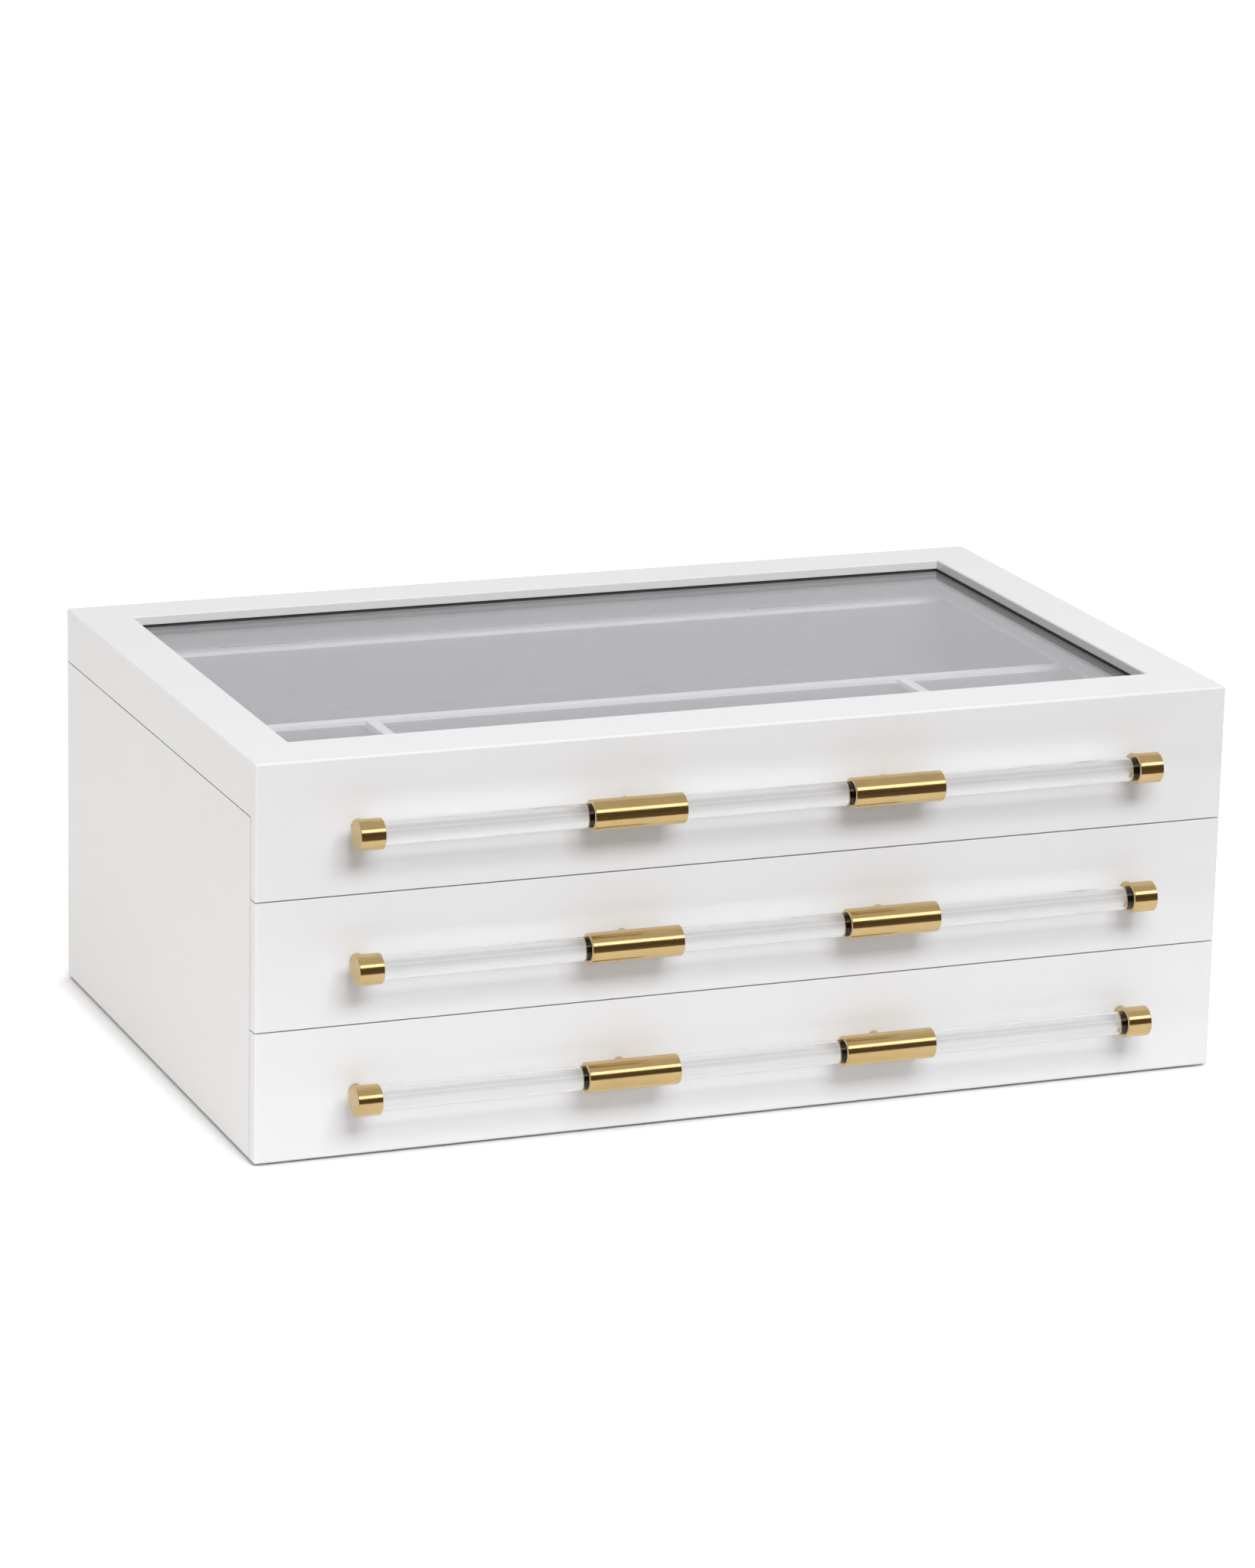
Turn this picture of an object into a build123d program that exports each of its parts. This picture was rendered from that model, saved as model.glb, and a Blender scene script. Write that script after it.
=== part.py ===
from build123d import *
import os

os.makedirs("parts", exist_ok=True)

# A jewellery chest: a white lacquered case with a glass-topped lid over a divided tray, and two
# drawers below. The lid's tall front board looks like a third drawer front and lifts with it.
# Millimetres. X is the width, -Y is the side with the handles, +Y the hinged back, +Z up.
# The origin is the centre of the felt that the chest stands on.

# ---- Overall sizes ----
CHEST_WIDTH = 406.4
CHEST_DEPTH = 254.0
CHEST_HEIGHT = 158.75
BASE_FELT = 1.0
FELT_INSET = 3.0
EDGE_RADIUS = 1.0

# ---- Fronts and seams, heights counted from the wooden underside ----
FRONT_THICKNESS = 6.0
BOTTOM_FRONT_HEIGHT = 52.5
MIDDLE_FRONT_HEIGHT = 51.8
LID_SIDE_HEIGHT = 22.25
SEAM_GAP = 0.5
SEAM_EASING = 0.2

# ---- Case boards ----
CASE_WALL = 11.2
PANEL_THICKNESS = 6.0
HOUSING_DEPTH = 4.0

# ---- Tray under the lid ----
LONG_DIVIDER_Y = -4.5
LONG_DIVIDER_THICKNESS = 5.0
SHORT_DIVIDER_X = 116.0
SHORT_DIVIDER_THICKNESS = 4.8
LINING_THICKNESS = 1.2
LINING_REVEAL = 1.5

# ---- Lid ----
LID_WALL = 6.5
RAIL_WIDTH = 21.8
LIP_THICKNESS = 3.85
LIP_EASING = 0.8
GLASS_REBATE = 5.0
GLASS_THICKNESS = 3.0
GLASS_CLEARANCE = 0.3
GASKET_THICKNESS = 0.6
GASKET_SHOW = 0.5
BEAD_HEIGHT = 3.0
BEAD_FIT = 0.1
LID_LINING_RISE = 0.6
BUMPER_RADIUS = 2.5
BUMPER_INSET = 16.0

# ---- Butt hinges ----
HINGE_X = 120.0
HINGE_LENGTH = 38.0
KNUCKLE_RADIUS = 2.8
KNUCKLE_COUNT = 5
KNUCKLE_END_GAP = 0.2
KNUCKLE_SWING_GAP = 0.3
KNUCKLE_STAND_OFF = 0.4
LEAF_THICKNESS = 1.2
LEAF_DEPTH = 6.0
LEAF_FIT = 0.1
PIN_RADIUS = 1.25
PIN_HEAD_RADIUS = 1.9
PIN_HEAD_THICKNESS = 0.8
RUNNING_CLEARANCE = 0.05
HINGE_SCREW_PITCH = 13.0
HINGE_SCREW_HEAD_RADIUS = 1.7
HINGE_SCREW_HEAD_HEIGHT = 0.8
HINGE_SCREW_SHANK_RADIUS = 0.9
HINGE_SCREW_LENGTH = 9.0

# ---- Drawers ----
DRAWER_SIDE_CLEARANCE = 1.0
DRAWER_FLOOR_CLEARANCE = 0.5
DRAWER_BACK_CLEARANCE = 2.0
DRAWER_BOARD = 8.0
DRAWER_PANEL = 4.0
DRAWER_PANEL_RISE = 2.0
DRAWER_GROOVE = 3.0
DRAWER_TRAVEL = 165.0
STOP_CLEAT_HEIGHT = 4.0
STOP_CLEAT_DEPTH = 10.0
STOP_CLEAT_LENGTH = 160.0
STOP_CLEAT_GAP = 1.0
STOP_SLACK = 0.2
STOP_CATCH = 3.2
DRAWER_DIVIDER = 5.0
DIVIDER_DROP = 3.0
MIDDLE_DIVIDER_X = -70.0
BOTTOM_DIVIDER_Y = 10.0
RING_SECTION_DEPTH = 112.0
RING_ROLL_COUNT = 6
RING_ROLL_GAP = 0.6
RING_ROLL_HEIGHT = 20.0

# ---- Handles ----
ROD_RADIUS = 4.75
ROD_STAND_OFF = 13.0
ROD_END_GAP = 0.1
BRASS_WALL = 1.25
BRASS_EASING = 0.3
STATION_PITCH = 108.4
SLEEVE_LENGTH = 38.0
CAP_LENGTH = 10.0
CAP_END_WALL = 1.5
POST_RADIUS = 2.75
POST_BORE_DEPTH = 6.0
HANDLE_SCREW_HEAD_RADIUS = 2.8
HANDLE_SCREW_HEAD_HEIGHT = 1.6
HANDLE_SCREW_SHANK_RADIUS = 1.5
HANDLE_SCREW_REACH = 5.0

# ---- Planes and levels that follow from the sizes ----
SIDE_X = CHEST_WIDTH / 2
INNER_X = SIDE_X - CASE_WALL
FRONT_Y = -CHEST_DEPTH / 2
BACK_Y = CHEST_DEPTH / 2
BOARD_BACK_Y = FRONT_Y + FRONT_THICKNESS
CASE_FRONT_Y = BOARD_BACK_Y + SEAM_GAP
INNER_BACK_Y = BACK_Y - CASE_WALL
TRAY_FRONT_Y = CASE_FRONT_Y + CASE_WALL

BASE_Z = BASE_FELT
TOP_Z = BASE_Z + CHEST_HEIGHT
LOWER_SEAM_Z = BASE_Z + BOTTOM_FRONT_HEIGHT
UPPER_SEAM_Z = LOWER_SEAM_Z + MIDDLE_FRONT_HEIGHT
LID_SEAM_Z = TOP_Z - LID_SIDE_HEIGHT
CASE_TOP_Z = LID_SEAM_Z - SEAM_GAP / 2
LID_BOTTOM_Z = LID_SEAM_Z + SEAM_GAP / 2

BOTTOM_PANEL_Z = (BASE_Z, BASE_Z + PANEL_THICKNESS)
SHELF_Z = (LOWER_SEAM_Z - PANEL_THICKNESS / 2, LOWER_SEAM_Z + PANEL_THICKNESS / 2)
TRAY_FLOOR_Z = (UPPER_SEAM_Z - PANEL_THICKNESS / 2, UPPER_SEAM_Z + PANEL_THICKNESS / 2)
BOTTOM_BAY_Z = (BOTTOM_PANEL_Z[1], SHELF_Z[0])
MIDDLE_BAY_Z = (SHELF_Z[1], TRAY_FLOOR_Z[0])

BOTTOM_FRONT_Z = (BASE_Z, LOWER_SEAM_Z - SEAM_GAP / 2)
MIDDLE_FRONT_Z = (LOWER_SEAM_Z + SEAM_GAP / 2, UPPER_SEAM_Z - SEAM_GAP / 2)
LID_FRONT_Z = (UPPER_SEAM_Z + SEAM_GAP / 2, TOP_Z)

LIP_Z = TOP_Z - LIP_THICKNESS
GLASS_TOP_Z = LIP_Z - GASKET_THICKNESS
GLASS_BOTTOM_Z = GLASS_TOP_Z - GLASS_THICKNESS
FRAME_BOTTOM_Z = GLASS_BOTTOM_Z - BEAD_HEIGHT
OPENING_X = SIDE_X - RAIL_WIDTH
OPENING_Y = (BOARD_BACK_Y + RAIL_WIDTH, BACK_Y - RAIL_WIDTH)

HINGE_Y = BACK_Y + KNUCKLE_RADIUS + KNUCKLE_STAND_OFF
PIN_BORE_RADIUS = PIN_RADIUS + RUNNING_CLEARANCE
HINGE_SCREW_Y = BACK_Y - LEAF_DEPTH / 2

DRAWER_X = INNER_X - DRAWER_SIDE_CLEARANCE
DRAWER_INNER_X = DRAWER_X - DRAWER_BOARD
DRAWER_BACK_Y = INNER_BACK_Y - DRAWER_BACK_CLEARANCE
DRAWER_INNER_Y = (BOARD_BACK_Y + DRAWER_BOARD, DRAWER_BACK_Y - DRAWER_BOARD)
CLEAT_BACK_Y = DRAWER_INNER_Y[1] - DRAWER_TRAVEL - STOP_SLACK

BRASS_BORE_RADIUS = ROD_RADIUS + RUNNING_CLEARANCE
BRASS_RADIUS = BRASS_BORE_RADIUS + BRASS_WALL
ROD_Y = FRONT_Y - ROD_STAND_OFF
SLEEVE_X = (-STATION_PITCH / 2, STATION_PITCH / 2)
CAP_X = (-1.5 * STATION_PITCH, 1.5 * STATION_PITCH)
STATIONS_X = CAP_X + SLEEVE_X
ROD_HALF_LENGTH = CAP_X[1] + CAP_LENGTH / 2 - CAP_END_WALL - ROD_END_GAP


def save(piece: BuildPart, name: str) -> None:
    """Label a finished piece and write it as its own STEP file."""
    piece.part.label = name
    export_step(piece.part, f"parts/{name}.step")


def middle(span: tuple) -> float:
    """Midpoint of a (low, high) pair."""
    return (span[0] + span[1]) / 2


def add_block(x_span: tuple, y_span: tuple, z_span: tuple, mode: Mode = Mode.ADD) -> None:
    """Add or cut a square-cornered board that fills the three (low, high) spans."""
    with BuildSketch(Plane.XY.offset(z_span[0])) as outline:
        with Locations((middle(x_span), middle(y_span))):
            Rectangle(x_span[1] - x_span[0], y_span[1] - y_span[0])
    extrude(outline.sketch, amount=z_span[1] - z_span[0], mode=mode)


def add_round_x(x_span: tuple, y: float, z: float, radius: float, mode: Mode = Mode.ADD) -> None:
    """Add or cut a round bar lying along X."""
    with BuildSketch(Plane.YZ.offset(x_span[0])) as disc:
        with Locations((y, z)):
            Circle(radius)
    extrude(disc.sketch, amount=x_span[1] - x_span[0], mode=mode)


def add_round_y(x: float, y_span: tuple, z: float, radius: float, mode: Mode = Mode.ADD) -> None:
    """Add or cut a round bar lying along Y."""
    with BuildSketch(Plane.XZ.offset(-y_span[1])) as disc:
        with Locations((x, z)):
            Circle(radius)
    extrude(disc.sketch, amount=y_span[1] - y_span[0], mode=mode)


def add_screw(seat: Plane, head: tuple, shank: tuple, grow: float = 0.0, mode: Mode = Mode.ADD) -> None:
    """Add a countersunk screw, or cut its hole.

    The flat of the head lies in the seat plane and the shank runs along the plane's normal.
    head is (radius, height) and shank is (radius, overall length). grow widens both, for a hole.
    """
    head_radius = head[0] + grow
    shank_radius = shank[0] + grow
    with BuildSketch(Plane(origin=seat.origin, x_dir=seat.x_dir, z_dir=-seat.y_dir)) as profile:
        with BuildLine():
            Polyline(
                (0, 0),
                (head_radius, 0),
                (shank_radius, head[1]),
                (shank_radius, shank[1] + grow),
                (0, shank[1] + grow),
                close=True,
            )
        make_face()
    revolve(profile.sketch, axis=Axis(seat.origin, seat.z_dir), mode=mode)


def add_tub(x_span: tuple, y_span: tuple, z_span: tuple) -> None:
    """Add a thin lining that covers the floor and the four walls of a compartment."""
    add_block(x_span, y_span, z_span)
    inner_x = (x_span[0] + LINING_THICKNESS, x_span[1] - LINING_THICKNESS)
    inner_y = (y_span[0] + LINING_THICKNESS, y_span[1] - LINING_THICKNESS)
    add_block(inner_x, inner_y, (z_span[0] + LINING_THICKNESS, z_span[1]), Mode.SUBTRACT)


# The outside of the whole chest, a box with eased edges. Each outer board is trimmed to it, so
# that the rounding runs on from one board to the next.
with BuildPart() as envelope:
    add_block((-SIDE_X, SIDE_X), (FRONT_Y, BACK_Y), (BASE_Z, TOP_Z))
    fillet(envelope.edges(), EDGE_RADIUS)


# ---- Case ----
def make_case_side(name: str, hand: int) -> None:
    """Side board, housed for the bottom, the shelf and the tray floor. hand is -1 left, 1 right."""
    outer = hand * SIDE_X
    inner = hand * INNER_X
    housed = hand * (INNER_X + HOUSING_DEPTH)
    with BuildPart() as side:
        add_block((min(outer, inner), max(outer, inner)), (CASE_FRONT_Y, BACK_Y), (BASE_Z, CASE_TOP_Z))
        for panel_z in (BOTTOM_PANEL_Z, SHELF_Z, TRAY_FLOOR_Z):
            housing_x = (min(inner, housed), max(inner, housed))
            add_block(housing_x, (CASE_FRONT_Y, INNER_BACK_Y), panel_z, Mode.SUBTRACT)
        add(envelope.part, mode=Mode.INTERSECT)
    save(side, name)


make_case_side("case_side_left", -1)
make_case_side("case_side_right", 1)

HOUSED_X = (-INNER_X - HOUSING_DEPTH, INNER_X + HOUSING_DEPTH)
MORTISE_Y = (BACK_Y - LEAF_DEPTH - LEAF_FIT, BACK_Y)
HINGE_SCREW_OFFSETS = (-HINGE_SCREW_PITCH, 0.0, HINGE_SCREW_PITCH)
HINGE_SCREW_HEAD = (HINGE_SCREW_HEAD_RADIUS, HINGE_SCREW_HEAD_HEIGHT)
HINGE_SCREW_SHANK = (HINGE_SCREW_SHANK_RADIUS, HINGE_SCREW_LENGTH)


def cut_hinge_seats(face_z: float, into: int) -> None:
    """Cut both hinge mortises and their pilot holes into a face at face_z. into is -1 down, 1 up."""
    deep_z = face_z + into * LEAF_THICKNESS
    for hinge_x in (-HINGE_X, HINGE_X):
        mortise_x = (hinge_x - HINGE_LENGTH / 2 - LEAF_FIT, hinge_x + HINGE_LENGTH / 2 + LEAF_FIT)
        add_block(mortise_x, MORTISE_Y, (min(face_z, deep_z), max(face_z, deep_z)), Mode.SUBTRACT)
        for offset_x in HINGE_SCREW_OFFSETS:
            seat = Plane(origin=(hinge_x + offset_x, HINGE_SCREW_Y, face_z), z_dir=(0, 0, into))
            add_screw(seat, HINGE_SCREW_HEAD, HINGE_SCREW_SHANK, RUNNING_CLEARANCE, Mode.SUBTRACT)


with BuildPart() as case_back:
    add_block((-INNER_X, INNER_X), (INNER_BACK_Y, BACK_Y), (BASE_Z, CASE_TOP_Z))
    add(envelope.part, mode=Mode.INTERSECT)
    cut_hinge_seats(CASE_TOP_Z, -1)
save(case_back, "case_back")

with BuildPart() as case_bottom:
    add_block(HOUSED_X, (CASE_FRONT_Y, INNER_BACK_Y), BOTTOM_PANEL_Z)
save(case_bottom, "case_bottom")

with BuildPart() as drawer_shelf:
    add_block(HOUSED_X, (CASE_FRONT_Y, INNER_BACK_Y), SHELF_Z)
save(drawer_shelf, "drawer_shelf")

with BuildPart() as tray_floor:
    add_block(HOUSED_X, (CASE_FRONT_Y, INNER_BACK_Y), TRAY_FLOOR_Z)
save(tray_floor, "tray_floor")

with BuildPart() as base_felt:
    felt_x = SIDE_X - FELT_INSET
    add_block((-felt_x, felt_x), (CASE_FRONT_Y + FELT_INSET, BACK_Y - FELT_INSET), (0, BASE_FELT))
save(base_felt, "base_felt")

# One cleat under the shelf and one under the tray floor: a drawer's taller back board meets it.
with BuildPart() as drawer_stop_cleats:
    for bay in (BOTTOM_BAY_Z, MIDDLE_BAY_Z):
        cleat_x = (-STOP_CLEAT_LENGTH / 2, STOP_CLEAT_LENGTH / 2)
        cleat_y = (CLEAT_BACK_Y - STOP_CLEAT_DEPTH, CLEAT_BACK_Y)
        add_block(cleat_x, cleat_y, (bay[1] - STOP_CLEAT_HEIGHT, bay[1]))
save(drawer_stop_cleats, "drawer_stop_cleats")

# ---- Tray ----
TRAY_WALL_Z = (TRAY_FLOOR_Z[1], CASE_TOP_Z)
LONG_DIVIDER_SPAN = (
    LONG_DIVIDER_Y - LONG_DIVIDER_THICKNESS / 2,
    LONG_DIVIDER_Y + LONG_DIVIDER_THICKNESS / 2,
)
SHORT_DIVIDER_FACES = (
    SHORT_DIVIDER_X - SHORT_DIVIDER_THICKNESS / 2,
    SHORT_DIVIDER_X + SHORT_DIVIDER_THICKNESS / 2,
)
TRAY_FRONT_ROW_Y = (TRAY_FRONT_Y, LONG_DIVIDER_SPAN[0])
TRAY_LINING_Z = (TRAY_FLOOR_Z[1], CASE_TOP_Z - LINING_REVEAL)

with BuildPart() as tray_front_rail:
    add_block((-INNER_X, INNER_X), (CASE_FRONT_Y, TRAY_FRONT_Y), TRAY_WALL_Z)
save(tray_front_rail, "tray_front_rail")

with BuildPart() as tray_long_divider:
    add_block((-INNER_X, INNER_X), LONG_DIVIDER_SPAN, TRAY_WALL_Z)
    fillet(tray_long_divider.faces().sort_by(Axis.Z)[-1].edges().filter_by(Axis.X), SEAM_EASING)
save(tray_long_divider, "tray_long_divider")

with BuildPart() as tray_short_dividers:
    add_block(SHORT_DIVIDER_FACES, TRAY_FRONT_ROW_Y, TRAY_WALL_Z)
    fillet(tray_short_dividers.faces().sort_by(Axis.Z)[-1].edges().filter_by(Axis.Y), SEAM_EASING)
    mirror(about=Plane.YZ)
save(tray_short_dividers, "tray_short_dividers")

with BuildPart() as tray_linings:
    add_tub((-SHORT_DIVIDER_FACES[0], SHORT_DIVIDER_FACES[0]), TRAY_FRONT_ROW_Y, TRAY_LINING_Z)
    add_tub((SHORT_DIVIDER_FACES[1], INNER_X), TRAY_FRONT_ROW_Y, TRAY_LINING_Z)
    add_tub((-INNER_X, -SHORT_DIVIDER_FACES[1]), TRAY_FRONT_ROW_Y, TRAY_LINING_Z)
    add_tub((-INNER_X, INNER_X), (LONG_DIVIDER_SPAN[1], INNER_BACK_Y), TRAY_LINING_Z)
save(tray_linings, "tray_linings")

with BuildPart() as lid_bumpers:
    with BuildSketch(Plane.XY.offset(CASE_TOP_Z)):
        for bumper_x in (-SIDE_X + LID_WALL / 2, SIDE_X - LID_WALL / 2):
            with Locations((bumper_x, CASE_FRONT_Y + BUMPER_INSET)):
                Circle(BUMPER_RADIUS)
    extrude(amount=SEAM_GAP)
save(lid_bumpers, "lid_bumpers")


# ---- Lid ----
def make_lid_rail(name: str, outer: tuple, inward: tuple, length: float, hinged: bool = False) -> None:
    """One mitred rail of the lid: an outer wall with a wide top that is rebated for the glass.

    outer is the middle of the rail's outer face in plan, inward the direction from it to the glass
    and length the distance between the outer corners.
    """
    section = Plane(origin=(*outer, 0), x_dir=(*inward, 0), z_dir=(inward[1], -inward[0], 0))
    with BuildPart() as rail:
        with BuildSketch(section):
            with BuildLine():
                Polyline(
                    (0, LID_BOTTOM_Z),
                    (LID_WALL, LID_BOTTOM_Z),
                    (LID_WALL, FRAME_BOTTOM_Z),
                    (RAIL_WIDTH - GLASS_REBATE, FRAME_BOTTOM_Z),
                    (RAIL_WIDTH - GLASS_REBATE, LIP_Z),
                    (RAIL_WIDTH, LIP_Z),
                    (RAIL_WIDTH, TOP_Z),
                    (0, TOP_Z),
                    close=True,
                )
            make_face()
        extrude(amount=length / 2, both=True)
        lip_corner = section.from_local_coords((RAIL_WIDTH, TOP_Z, 0))
        fillet(rail.edges().sort_by_distance(lip_corner)[0], LIP_EASING)
        for end in (-1, 1):
            corner = section.origin + section.z_dir * (end * length / 2)
            mitre = Plane(origin=corner, z_dir=section.x_dir + section.z_dir * end)
            split(bisect_by=mitre, keep=Keep.BOTTOM)
        add(envelope.part, mode=Mode.INTERSECT)
        if hinged:
            cut_hinge_seats(LID_BOTTOM_Z, 1)
    save(rail, name)


LID_LENGTH_Y = BACK_Y - BOARD_BACK_Y
LID_MIDDLE_Y = (BACK_Y + BOARD_BACK_Y) / 2
make_lid_rail("lid_rail_front", (0, BOARD_BACK_Y), (0, 1), CHEST_WIDTH)
make_lid_rail("lid_rail_back", (0, BACK_Y), (0, -1), CHEST_WIDTH, hinged=True)
make_lid_rail("lid_rail_left", (-SIDE_X, LID_MIDDLE_Y), (1, 0), LID_LENGTH_Y)
make_lid_rail("lid_rail_right", (SIDE_X, LID_MIDDLE_Y), (-1, 0), LID_LENGTH_Y)

GLASS_EDGE_X = OPENING_X + GLASS_REBATE - GLASS_CLEARANCE
GLASS_EDGE_Y = (
    OPENING_Y[0] - GLASS_REBATE + GLASS_CLEARANCE,
    OPENING_Y[1] + GLASS_REBATE - GLASS_CLEARANCE,
)

with BuildPart() as lid_glass:
    add_block((-GLASS_EDGE_X, GLASS_EDGE_X), GLASS_EDGE_Y, (GLASS_BOTTOM_Z, GLASS_TOP_Z))
save(lid_glass, "lid_glass")

with BuildPart() as glass_gasket:
    show_x = OPENING_X - GASKET_SHOW
    show_y = (OPENING_Y[0] + GASKET_SHOW, OPENING_Y[1] - GASKET_SHOW)
    add_block((-GLASS_EDGE_X, GLASS_EDGE_X), GLASS_EDGE_Y, (GLASS_TOP_Z, LIP_Z))
    add_block((-show_x, show_x), show_y, (GLASS_TOP_Z, LIP_Z), Mode.SUBTRACT)
save(glass_gasket, "glass_gasket")

# Four suede-wrapped beads pressed into the rebate from below hold the glass against its gasket.
with BuildPart() as glass_beads:
    bead_z = (FRAME_BOTTOM_Z, GLASS_BOTTOM_Z)
    add_block((-GLASS_EDGE_X, GLASS_EDGE_X), (GLASS_EDGE_Y[0], OPENING_Y[0]), bead_z)
    add_block((-GLASS_EDGE_X, GLASS_EDGE_X), (OPENING_Y[1], GLASS_EDGE_Y[1]), bead_z)
    side_bead_y = (OPENING_Y[0] + BEAD_FIT, OPENING_Y[1] - BEAD_FIT)
    add_block((-GLASS_EDGE_X, -OPENING_X), side_bead_y, bead_z)
    add_block((OPENING_X, GLASS_EDGE_X), side_bead_y, bead_z)
save(glass_beads, "glass_beads")

# A band of suede covers the lid's inner walls, a little clear of their bottom edge.
with BuildPart() as lid_wall_lining:
    wall_x = SIDE_X - LID_WALL
    wall_y = (BOARD_BACK_Y + LID_WALL, BACK_Y - LID_WALL)
    band_z = (LID_BOTTOM_Z + LID_LINING_RISE, FRAME_BOTTOM_Z)
    inside_x = wall_x - LINING_THICKNESS
    inside_y = (wall_y[0] + LINING_THICKNESS, wall_y[1] - LINING_THICKNESS)
    add_block((-wall_x, wall_x), wall_y, band_z)
    add_block((-inside_x, inside_x), inside_y, band_z, Mode.SUBTRACT)
save(lid_wall_lining, "lid_wall_lining")


# ---- Hinges ----
def make_hinge_leaves(name: str, face_z: float, into: int, first_knuckle: int) -> None:
    """Both leaves that lie on one face of the lid seam, each with every second knuckle.

    face_z is the face that the leaf is flush with, into the side of it that the leaf is let into
    (-1 down, 1 up) and first_knuckle the number of the first knuckle that this leaf carries.
    """
    knuckle = HINGE_LENGTH / KNUCKLE_COUNT
    deep_z = face_z + into * LEAF_THICKNESS
    plate_z = (min(face_z, deep_z), max(face_z, deep_z))
    clear_radius = KNUCKLE_RADIUS + KNUCKLE_SWING_GAP
    with BuildPart() as leaves:
        for hinge_x in (-HINGE_X, HINGE_X):
            start_x = hinge_x - HINGE_LENGTH / 2
            leaf_x = (start_x, start_x + HINGE_LENGTH)
            add_block(leaf_x, (BACK_Y - LEAF_DEPTH, HINGE_Y), plate_z)
            for index in range(KNUCKLE_COUNT):
                knuckle_x = (start_x + index * knuckle, start_x + (index + 1) * knuckle)
                if index % 2 != first_knuckle:
                    add_round_x(knuckle_x, HINGE_Y, LID_SEAM_Z, clear_radius, Mode.SUBTRACT)
            for index in range(first_knuckle, KNUCKLE_COUNT, 2):
                low_x = start_x + index * knuckle + KNUCKLE_END_GAP / 2
                high_x = start_x + (index + 1) * knuckle - KNUCKLE_END_GAP / 2
                add_round_x((low_x, high_x), HINGE_Y, LID_SEAM_Z, KNUCKLE_RADIUS)
            add_round_x(leaf_x, HINGE_Y, LID_SEAM_Z, PIN_BORE_RADIUS, Mode.SUBTRACT)
            for offset_x in HINGE_SCREW_OFFSETS:
                seat = Plane(origin=(hinge_x + offset_x, HINGE_SCREW_Y, face_z), z_dir=(0, 0, into))
                add_screw(seat, HINGE_SCREW_HEAD, HINGE_SCREW_SHANK, RUNNING_CLEARANCE, Mode.SUBTRACT)
    save(leaves, name)


def make_hinge_screws(name: str, face_z: float, into: int) -> None:
    """The countersunk screws of both leaves on one face of the lid seam."""
    with BuildPart() as screws:
        for hinge_x in (-HINGE_X, HINGE_X):
            for offset_x in HINGE_SCREW_OFFSETS:
                seat = Plane(origin=(hinge_x + offset_x, HINGE_SCREW_Y, face_z), z_dir=(0, 0, into))
                add_screw(seat, HINGE_SCREW_HEAD, HINGE_SCREW_SHANK)
    save(screws, name)


make_hinge_leaves("hinge_case_leaves", CASE_TOP_Z, -1, 0)
make_hinge_leaves("hinge_lid_leaves", LID_BOTTOM_Z, 1, 1)
make_hinge_screws("hinge_case_screws", CASE_TOP_Z, -1)
make_hinge_screws("hinge_lid_screws", LID_BOTTOM_Z, 1)

with BuildPart() as hinge_pins:
    for hinge_x in (-HINGE_X, HINGE_X):
        pin_x = (hinge_x - HINGE_LENGTH / 2, hinge_x + HINGE_LENGTH / 2)
        add_round_x(pin_x, HINGE_Y, LID_SEAM_Z, PIN_RADIUS)
        add_round_x((pin_x[0] - PIN_HEAD_THICKNESS, pin_x[0]), HINGE_Y, LID_SEAM_Z, PIN_HEAD_RADIUS)
        add_round_x((pin_x[1], pin_x[1] + PIN_HEAD_THICKNESS), HINGE_Y, LID_SEAM_Z, PIN_HEAD_RADIUS)
save(hinge_pins, "hinge_pins")

# ---- Fronts and handles ----
HANDLE_SCREW_HEAD = (HANDLE_SCREW_HEAD_RADIUS, HANDLE_SCREW_HEAD_HEIGHT)


def handle_screw_shank(seat_y: float) -> tuple:
    """Radius and overall length of a handle screw whose head lies in the plane y = seat_y."""
    return (HANDLE_SCREW_SHANK_RADIUS, seat_y - FRONT_Y + HANDLE_SCREW_REACH)


def add_handle_screws(seat_y: float, z: float, grow: float = 0.0, mode: Mode = Mode.ADD) -> None:
    """Add a handle's four screws, or cut their holes, with the heads in the plane y = seat_y."""
    for station_x in STATIONS_X:
        seat = Plane(origin=(station_x, seat_y, z), x_dir=(1, 0, 0), z_dir=(0, -1, 0))
        add_screw(seat, HANDLE_SCREW_HEAD, handle_screw_shank(seat_y), grow, mode)


def make_front_board(name: str, z_span: tuple, seat_y: float) -> None:
    """A full-width lacquered front, drilled for the handle screws whose heads lie at y = seat_y."""
    with BuildPart() as front:
        add_block((-SIDE_X, SIDE_X), (FRONT_Y, BOARD_BACK_Y), z_span)
        fillet(front.faces().sort_by(Axis.Y)[0].edges(), SEAM_EASING)
        add(envelope.part, mode=Mode.INTERSECT)
        add_handle_screws(seat_y, middle(z_span), RUNNING_CLEARANCE, Mode.SUBTRACT)
    save(front, name)


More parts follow.
